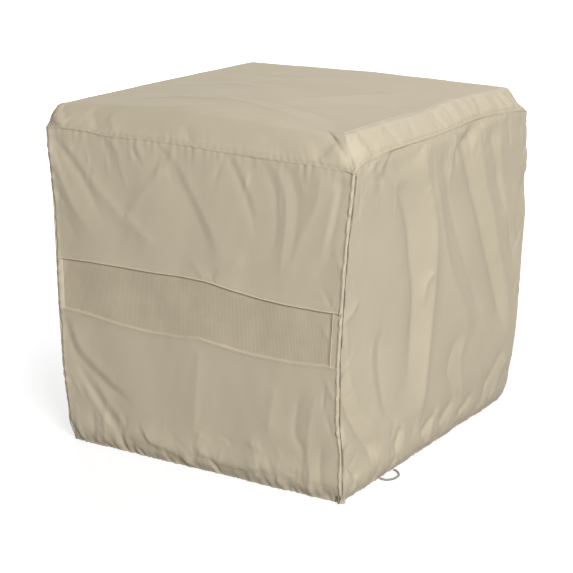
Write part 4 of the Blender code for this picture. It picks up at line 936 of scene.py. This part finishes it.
middle = np.cos(np.clip(along_wall / (WALL / 2), -1, 1) * math.pi / 2)
rim_ring, _ = section(TOP_CORNERS, [0.004] * 4)
inner_ring, _ = section(TOP_CORNERS - 0.011 * np.sign(TOP_CORNERS), [0.002] * 4)
inner_ring = inner_ring + (inner_ring - rim_ring) * np.where(front, middle, 0.0)[:, None]
seam_ring, seam_normals = level_points(seam_height)
cap_ring, _ = section(corners_at(SEAM_LEVEL), [0.026] * 4, 0.8)
rim = np.column_stack([rim_ring, rim_height])
inner = np.column_stack([inner_ring, rim_height + 0.0004])

CAP_SHARES = graded(1.0, 0.018, 0.070)
DROP_SHARE = 0.6        # share of the cap's rows that are on its drop; the rest turn over on to the top
DROP_REACH = 0.90       # how far up to the rim the drop goes before that turn
DROP_TILT = 0.25        # how far folds on the drop push up as well as out
TURN_BELLY = 0.84       # place on the belly's arch that the turn starts from
left_corner = np.where(front, bell(along_wall, -0.33, 0.04), 0.0)
left_corner += np.where(wall_of == 3, bell(along_wall, 0.33, 0.04), 0.0)
cap_belly = np.where(front, 0.001, 0.003) * (1 - near_corner) + 0.007 * left_corner
cap_rows = []
for share in CAP_SHARES[1:]:
    blend = smooth(min(share / 0.30, 1.0))
    start = np.column_stack([seam_ring * (1 - blend) + cap_ring * blend, seam_height])
    if share <= DROP_SHARE:
        reached = share / DROP_SHARE * DROP_REACH
        line = start + (rim - start) * reached
        line[:, :2] += seam_normals * (cap_belly * math.sin(math.pi * reached))[:, None]
        tilt = DROP_TILT
    else:
        turn = (share - DROP_SHARE) / (1 - DROP_SHARE)
        last = start + (rim - start) * DROP_REACH
        last[:, :2] += seam_normals * (cap_belly * math.sin(math.pi * TURN_BELLY))[:, None]
        line = (1 - turn) ** 2 * last + 2 * turn * (1 - turn) * rim + turn ** 2 * inner
        tilt = DROP_TILT + (1 - DROP_TILT) * smooth(turn)
    normal = np.column_stack([seam_normals * (1.0 - tilt), np.full(COLUMNS, tilt)])
    normal /= np.linalg.norm(normal, axis=1)[:, None]
    height = line[:, 2] - seam_height
    lift = np.zeros(COLUMNS)
    for wall in range(4):
        at = np.where(wall_of == wall)[0]
        u, z = along_wall[at], height[at]
        part = sum(fold(u, z, *row) for row in CAP_FOLDS[wall])
        part += CAP_CRINKLE_SHARES[wall] * crinkles(150 + wall, u, z, *CAP_CRINKLES)
        part += 0.45 * MM * slow_waves(30 + wall, u, z, 0.12, 0.1)
        part += 0.5 * MM * slow_waves(34 + wall, u, z, 0.020, 0.1) * np.exp(-z / 0.012)
        lift[at] = part * short_of(u, 0.336, 0.01)
    lift *= 1.0 - smooth((share - 0.75) / 0.25)
    lift += seam_band(height * 1000.0, proud)
    cap_rows.append(line + normal * lift[:, None])

# ---------------------------------------------------------------- the top

# As the walls' folds, but the points are x and y
TOP_FOLDS = [
    (2.2, 8, 6, 0.25, 0.3, (-235, -235), (-110, -205), (40, -215), (180, -262), (285, -298)),
    (-2, 7, 7, 0.3, 0.3, (-60, -165), (80, -176), (200, -214), (284, -262)),
    (2.6, 16, 12, 0.3, 0.5, (-120, 20), (-38, 48), (2, 98), (50, 110)),
    (1.8, 15, 9, 0.4, 0.4, (40, -130), (104, -94), (150, -10), (236, 72), (296, 110)),
    (-1.1, 12, 8, 0.4, 0.4, (130, -110), (190, -62), (240, -22), (290, 14)),
    (2, 14, 12, 0.3, 0.5, (-260, -60), (-150, -10), (-40, -30), (40, -50)),
    (-2, 16, 16, 0.3, 0.4, (-240, 120), (-120, 130), (20, 190), (160, 180)),
    (1.8, 12, 14, 0.4, 0.4, (-80, -210), (60, -190), (200, -230)),
    (-1.8, 10, 12, 0.3, 0.4, (80, -150), (180, -130), (270, -160)),
]
TOP_FOLD_SCALE = 1.4
TOP_CROWN = 0.0015

# The surface spans the cap's four edges: each pair blended across, less the blend of the four corners
edges = [cap_rows[-1][np.arange(side * PER_WALL, (side + 1) * PER_WALL + 1) % COLUMNS] for side in range(4)]
front_edge, right_edge, rear_edge, left_edge = edges[0], edges[1], edges[2][::-1], edges[3][::-1]
places = np.concatenate([column_places, [WALL]]) / WALL
right_share, rear_share = places[:, None, None], places[None, :, None]
left_share, front_share = 1 - right_share, 1 - rear_share
top = (front_share * front_edge[:, None] + rear_share * rear_edge[:, None]
       + left_share * left_edge[None] + right_share * right_edge[None]
       - left_share * front_share * front_edge[0] - right_share * front_share * front_edge[-1]
       - right_share * rear_share * rear_edge[-1] - left_share * rear_share * rear_edge[0])
x, y = top[:, :, 0], top[:, :, 1]
nearest_x = np.minimum(right_share, left_share)[:, :, 0]
nearest_y = np.minimum(rear_share, front_share)[:, :, 0]
inside = smooth(np.minimum(nearest_x, nearest_y) / 0.10)
lift = TOP_CROWN * (np.sin(np.pi * right_share) ** 0.8 * np.sin(np.pi * rear_share) ** 0.8)[:, :, 0]
lift = lift + TOP_FOLD_SCALE * sum(fold(x, y, *row) for row in TOP_FOLDS) * inside
top[:, :, 2] += lift + 0.8 * MM * slow_waves(95, x, y, 0.20, 0.20) * inside


# ---------------------------------------------------------------- meshes from the grid

def build_cover():
    """The cover's points, its faces of cloth and of net, and each point's place on the flat cloth."""
    rows = np.array(turned_under + list(wall_points) + cap_rows)
    first = len(turned_under)
    grid = np.arange(len(rows) * COLUMNS).reshape(-1, COLUMNS)
    beyond = np.roll(grid, -1, axis=1)
    faces = np.stack([grid[:-1], beyond[:-1], beyond[1:], grid[1:]], axis=-1)
    is_net = np.zeros(faces.shape[:2], dtype=bool)
    is_net[first + VENT_ROW_LOW:first + VENT_ROW_HIGH, mesh_columns[:-1]] = True
    # The top shares its four edges with the last ring, and has its own points between them
    last = grid[-1]
    edge = np.arange(PER_WALL + 1)
    top_grid = np.zeros((PER_WALL + 1, PER_WALL + 1), dtype=int)
    top_grid[1:-1, 1:-1] = grid.size + np.arange((PER_WALL - 1) ** 2).reshape(PER_WALL - 1, -1)
    top_grid[0] = last[(4 * PER_WALL - edge) % COLUMNS]
    top_grid[:, -1] = last[3 * PER_WALL - edge]
    top_grid[-1] = last[PER_WALL + edge]
    top_grid[:, 0] = last[edge]
    top_faces = np.stack([top_grid[:-1, :-1], top_grid[1:, :-1], top_grid[1:, 1:], top_grid[:-1, 1:]],
                         axis=-1)
    points = np.vstack([rows.reshape(-1, 3), top[1:-1, 1:-1].reshape(-1, 3)])
    flat = points[:, :2] + 5.0
    flat[:grid.size, 0] = np.tile(ring_place + WALL / 2, len(rows))
    flat[:grid.size, 1] = (rows[:, :, 2] * np.where(np.arange(len(rows)) < first, -1.0, 1.0)[:, None]).ravel()
    return points, np.vstack([faces[~is_net], top_faces.reshape(-1, 4)]), faces[is_net], flat


def cover_mesh(name, points, faces, flat, slot, material):
    """A mesh of some of the cover's faces, with the flat cloth as its UV map."""
    used, inverse = np.unique(faces.ravel(), return_inverse=True)
    obj = mesh_object(name, points[used], inverse.reshape(faces.shape), "cover", slot, material)
    index = np.zeros(len(obj.data.loops), dtype=int)
    obj.data.loops.foreach_get("vertex_index", index)
    per_face = flat[used][index].reshape(-1, 4, 2)
    # A face across the join of the ring keeps its place past the end
    across = per_face[:, :, 0]
    wide = across.max(axis=1) - across.min(axis=1) > 2 * WALL
    across += np.where(wide[:, None] & (across < 2 * WALL), 4 * WALL, 0.0)
    obj.data.uv_layers.new(name="cloth").data.foreach_set("uv", per_face.ravel())
    return obj


points, cloth_faces, net_faces, flat = build_cover()
cover = cover_mesh("cover_cloth", points, cloth_faces, flat, "cover_cloth", cloth_material())
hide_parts("cover_cap", "front_upper_panel", "front_lower_panel", "rear_wall", "right_wall",
            "left_wall", "front_left_corner_seam", "front_right_corner_seam", "rear_left_corner_seam",
            "rear_right_corner_seam", "hem_casing", "cap_seam_tape", "front_vent_binding")
net = cover_mesh("vent_net", points, net_faces, flat, "mesh_cloth", net_material())
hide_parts("front_vent_mesh")


# ---------------------------------------------------------------- stitching and piping

all_levels = np.vstack([levels] + [row[None, :, 2] for row in cap_rows])
all_points = np.concatenate([wall_points, np.array(cap_rows)])


def on_cloth(columns, heights, out=0.0):
    """Points on the cover's outside at one height for each column."""
    line = []
    for c, z in zip(columns, heights):
        q = np.array([np.interp(z, all_levels[:, c], all_points[:, c, k]) for k in range(3)])
        r = min(int(np.searchsorted(levels[:, c], z)), ROWS - 1)
        q[:2] += out * wall_normals[r, c]
        line.append(q)
    return np.array(line)


def upright_line(wall, place, rows, out):
    """Points up the cover at one place along a wall, for stitches that run upright."""
    low = int(np.searchsorted(column_places, place)) - 1
    share = (place - column_places[low]) / (column_places[low + 1] - column_places[low])
    column = wall * PER_WALL + low
    line = wall_points[rows, column] * (1 - share) + wall_points[rows, column + 1] * share
    line[:, :2] += out * wall_normals[rows, column]
    return line


def stitches(lines, length=0.0031, pitch=0.0044, width=0.00055):
    """Short thread dashes along each line, as one mesh."""
    dashes = []
    for line, closed in lines:
        if closed:
            line = np.vstack([line, line[:1]])
        run = lengths_along(line)
        for start in np.arange(pitch / 2, run[-1] - length, pitch):
            a, b = (np.array([np.interp(at, run, line[:, k]) for k in range(3)])
                    for at in (start, start + length))
            way = (b - a) / np.linalg.norm(b - a)
            out = a * np.array([1.0, 1.0, 0.0])
            out /= np.linalg.norm(out)
            side = np.cross(way, out)
            side /= np.linalg.norm(side)
            out = np.cross(side, way)
            dashes.append(skin([
                [end + side * (x * width * spread) + out * (y * width * spread - sink)
                 for x, y in ((-1, -0.6), (1, -0.6), (0.6, 0.8), (-0.6, 0.8))]
                for end, spread, sink in ((a, 0.6, 0.0003), (0.5 * (a + b), 1.0, 0.0), (b, 0.6, 0.0003))]))
    return together(dashes)


front_columns = np.where(front & (np.abs(along_wall) < 0.326))[0]
upright = np.arange(int(np.searchsorted(levels[:, 0], PAD_TOP)), ROWS - 6)
stitch_lines = [(on_cloth(range(COLUMNS), seam_height + place, 0.0003), True) for place in SEAM_STITCHES]
stitch_lines += [
    (on_cloth(range(COLUMNS), np.full(COLUMNS, HEM_STITCH), 0.0002), True),
    (on_cloth(front_columns, vent_top[front_columns] + VENT_STITCHES[0], 0.0002), False),
    (on_cloth(front_columns, vent_base[front_columns] - VENT_STITCHES[1], 0.0002), False),
]
for wall, place in ((0, WALL - NEAR_SET - CORNER_STITCH), (0, SEAM_SET + CORNER_STITCH),
                    (2, SEAM_SET + CORNER_STITCH), (3, SEAM_SET + CORNER_STITCH)):
    stitch_lines.append((upright_line(wall, place, upright, 0.0003), False))
mesh_object("seam_stitches", *stitches(stitch_lines), "cover", "cover_cloth", thread_material())


def tube(name, line, radius, slot, material, sides=8, closed=False):
    """A round bar swept along a line of points, as a piece of the cover."""
    line = [Vector(q) for q in line]
    last = len(line) - 1
    rings = []
    side = None
    for i, q in enumerate(line):
        before = line[i - 1] if i or closed else q
        after = line[(i + 1) % len(line)] if i < last or closed else q
        way = (after - before).normalized()
        side = way.orthogonal() if side is None else side - way * side.dot(way)
        side.normalize()
        rings.append(circle(q, side, way.cross(side), radius, sides))
    return mesh_object(name, *skin(rings, closed), "cover", slot, material)


# The vent's piping is the cloth colour lightened by 10%: painted highlight where its raised edges catch the
# light
lit_piping_shader = cloth_material("vent_piping_painted_highlight", tint(CLOTH, 1.10))
top_pipe = on_cloth(front_columns, vent_top[front_columns] + 0.0002, 0.0006)
base_pipe = on_cloth(front_columns, vent_base[front_columns] - 0.0004, 0.0004)
end_column = np.where(front & (along_wall < VENT_RIGHT + 0.002))[0][-1]
end_heights = np.linspace(vent_base[end_column] - 0.002, vent_top[end_column] + 0.002, 40)
end_pipe = on_cloth([end_column + 1] * len(end_heights), end_heights, 0.0008)
tube("vent_top_piping", top_pipe, 0.0013, "cover_cloth", lit_piping_shader)
tube("vent_base_piping", base_pipe, 0.0008, "cover_cloth", lit_piping_shader)
tube("vent_end_piping", end_pipe, 0.0009, "cover_cloth", lit_piping_shader)

# A thin tube in the near corner's seam, in the cloth colour darkened to 40%: painted shadow that stands for
# the shade in the seam's crease
seam_rows = np.arange(7, ROWS - 4)
corner_line = wall_points[seam_rows, PER_WALL]
drift = (0.5 + 0.3 * slow_waves(97, np.zeros(len(seam_rows)), corner_line[:, 2], 1.0, 0.05))[:, None]
seam_shade_line = corner_line * drift + wall_points[seam_rows, PER_WALL - 2] * (1.0 - drift)
seam_shade_line[:, :2] += np.array([0.5, -0.9]) * 0.0006
tube("near_seam_shadow_tube", seam_shade_line, 0.0010, "cover_cloth", cloth_material("near_seam_painted_shadow", tint(CLOTH, 0.40)))


# ---------------------------------------------------------------- the pull loop and the hem's elastic

# The loop's route: how far out from the casing, share of its half width, and height
LOOP_START, LOOP_CENTRE, LOOP_HALF, LOOP_REST, LOOP_EXIT = 0.314, -0.165, 0.025, 0.0023, 0.0038
LOOP_SIDE = [(0.000, 1.00, LOOP_EXIT), (0.004, 1.00, LOOP_EXIT), (0.011, 0.86, LOOP_REST),
             (0.019, 0.42, LOOP_REST)]
loop_shape = [(out, -across, z) for out, across, z in LOOP_SIDE]
loop_shape += [(0.020, 0.00, LOOP_REST)] + LOOP_SIDE[::-1]
loop_route = [(LOOP_START + out, LOOP_CENTRE + across * LOOP_HALF, z) for out, across, z in loop_shape]
loop_line = catmull(loop_route, 5)
cord_shader = cord_material()
elastic_line = wall_points[0].copy()
elastic_line[:, :2] -= wall_normals[0] * 0.0022
elastic_line[:, 2] = 0.0120
elastic_line = clear_of_pad(elastic_line, PAD_CLEAR + 0.0002)
hem_elastic = tube("hem_elastic_cord", elastic_line[::3], 0.0010, "elastic", cord_shader, closed=True)
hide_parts("hem_elastic")
pull = tube("hem_pull_loop", loop_line, 0.002, "elastic", cord_shader, sides=12)
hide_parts("pull_loop")


# ---------------------------------------------------------------- the unit under the cover

finishes = finish_materials()
finishes["elastic"] = cord_shader
for node in nodes.values():
    for place in node.material_slots:
        finish = place.material.name.split(".")[0]
        if finish in finishes:
            place.material = finishes[finish]


# A washer and a hexagon head: sides, then each ring's radius and height as shares of the head's
BOLT_SHAPE = ((20, ((1.55, -0.05), (1.55, 0.14), (1.48, 0.20))), (6, ((1.0, 0.20), (1.0, 0.90), (0.86, 1.0))))


def bolts(name, places, radius, height):
    """Steel hexagon heads on washers. Each place is a point on a face and the direction that it faces."""
    shapes = []
    for point, way in places:
        point, way = Vector(point), Vector(way).normalized()
        side = way.orthogonal().normalized()
        other = way.cross(side)
        for sides, rings in BOLT_SHAPE:
            shapes.append(skin([circle(point + way * (high * height), side, other, wide * radius, sides)
                                for wide, high in rings]))
    mesh_object(name, *together(shapes), "root", "steel", finishes["steel"], shade_smooth=False)


def corners_of(node, axis, side, inset_a, inset_b):
    """Four points set in from the corners of a node's face, with the direction that the face looks in."""
    low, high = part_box(node)
    a, b = [k for k in range(3) if k != axis]
    way = [0.0, 0.0, 0.0]
    way[axis] = side
    places = []
    for at_a in (low[a] + inset_a, high[a] - inset_a):
        for at_b in (low[b] + inset_b, high[b] - inset_b):
            point = [0.0, 0.0, 0.0]
            point[axis] = high[axis] if side > 0 else low[axis]
            point[a], point[b] = at_a, at_b
            places.append((point, way))
    return places


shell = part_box("front_panel")
screw_heights = (shell[0][2] + 0.028, 0.33, shell[1][2] - 0.045)
panel_screws = [((x, shell[0][1], z), (0, -1, 0)) for x in (-0.272, 0.272) for z in screw_heights]
for node, side in (("left_panel", -1), ("right_panel", 1)):
    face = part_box(node)[0 if side < 0 else 1][0]
    panel_screws += [((face, y, z), (side, 0, 0)) for y in (-0.270, 0.270) for z in screw_heights]
bolts("panel_screws", panel_screws, 0.0042, 0.0032)
bolts("valve_cover_bolts", corners_of("valve_cover", 2, 1, 0.012, 0.012), 0.0042, 0.0050)
bolts("control_box_screws", corners_of("control_box", 2, 1, 0.010, 0.010), 0.0026, 0.0024)
bell_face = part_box("end_bell")[1][0]
bell_height = (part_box("rotor")[0][2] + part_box("rotor")[1][2]) / 2
BELL_BOLTS = 0.088      # radius of the circle that they are on
bolts("end_bell_bolts",
      [((bell_face, BELL_BOLTS * math.cos(a), bell_height + BELL_BOLTS * math.sin(a)), (1, 0, 0))
       for a in np.radians([30, 90, 150, 210, 270, 330])], 0.0048, 0.0050)
bolts("crankcase_bolts", corners_of("crankcase", 1, -1, 0.012, 0.014), 0.0044, 0.0050)


# ---------------------------------------------------------------- stage, light and camera

def stage_plane(size=14.0):
    """A pale floor that turns to plain white away from the unit, so that only its shadow shows on it."""
    mesh = bpy.data.meshes.new("floor")
    mesh.from_pydata([(-size, -size, 0.0), (size, -size, 0.0), (size, size, 0.0), (-size, size, 0.0)], [],
                     [(0, 1, 2, 3)])
    floor = linked(bpy.data.objects.new("floor", mesh))
    material = bpy.data.materials.new("pale_floor")
    material.use_nodes = True
    material.node_tree.nodes.clear()
    t = Nodes(material.node_tree)
    diffuse = t.node("ShaderNodeBsdfDiffuse", Color=(0.36, 0.36, 0.365, 1.0))
    length = t.node("ShaderNodeVectorMath", operation="LENGTH")
    t.link(t.node("ShaderNodeTexCoord").outputs["Object"], length.inputs[0])
    away = t.ranged(length.outputs["Value"], 0.72, 1.0, 0.6, 1.25)
    glow = t.node("ShaderNodeEmission")
    t.link(t.maths("MULTIPLY", t.background_rays("Is Glossy Ray"), away), glow.inputs["Strength"])
    both = t.node("ShaderNodeAddShader")
    t.link(diffuse.outputs["BSDF"], both.inputs[0])
    t.link(glow.outputs["Emission"], both.inputs[1])
    t.link(both.outputs["Shader"], t.node("ShaderNodeOutputMaterial").inputs["Surface"])
    mesh.materials.append(material)


def world(level=0.21):
    """An even light at this level, that is seen as white."""
    made = bpy.data.worlds.new("studio")
    bpy.context.scene.world = made
    made.use_nodes = True
    t = Nodes(made.node_tree)
    background = t.tree.nodes["Background"]
    background.inputs["Color"].default_value = (1.0, 1.0, 1.0, 1.0)
    seen = t.background_rays("Is Glossy Ray", "Is Transmission Ray")
    t.link(t.ranged(seen, level, 1.0), background.inputs["Strength"])


def lamp(name, place, target, size, power):
    data = bpy.data.lights.new(name, "AREA")
    data.shape = "RECTANGLE"
    data.size, data.size_y = size
    data.energy = power
    obj = linked(bpy.data.objects.new(name, data))
    obj.location = place
    obj.rotation_euler = (Vector(target) - Vector(place)).to_track_quat("-Z", "Y").to_euler()
    return obj


CAMERA_PLACE = (1.7623, -2.7665, 1.2071)
CAMERA_TURN = (32.66, 15.80, -0.3)      # degrees round from the front, up and rolled
CAMERA_LENS = 108.06


def camera():
    """The main view: towards the front right corner, from a little above."""
    data = bpy.data.cameras.new("view")
    data.sensor_fit = "HORIZONTAL"
    data.sensor_width = 36.0
    data.lens = CAMERA_LENS
    data.clip_end = 100.0
    obj = linked(bpy.data.objects.new("view", data))
    azimuth, elevation, roll = (math.radians(angle) for angle in CAMERA_TURN)
    back = Vector((math.sin(azimuth) * math.cos(elevation), -math.cos(azimuth) * math.cos(elevation),
                   math.sin(elevation)))
    right = Vector((math.cos(azimuth), math.sin(azimuth), 0.0))
    up = back.cross(right)
    rolled = right * math.cos(roll) + up * math.sin(roll)
    above = up * math.cos(roll) - right * math.sin(roll)
    turn = Matrix((rolled, above, back)).transposed().to_4x4()
    obj.matrix_world = Matrix.Translation(CAMERA_PLACE) @ turn
    bpy.context.scene.camera = obj


stage_plane()
world()
lamp("key", (4.70, -4.10, 3.30), (0.0, 0.0, 0.3), (1.9, 1.9), 500.0)
lamp("rear", (0.2, 2.3, 3.3), (0.0, 0.0, 0.4), (1.8, 1.8), 46.0)
fill = lamp("rear_fill", (-3.6, 3.4, 0.9), (0.0, 0.0, 0.3), (1.6, 1.2), 110.0)
fill.visible_glossy = False
camera()
bpy.context.scene.view_settings.view_transform = "Standard"
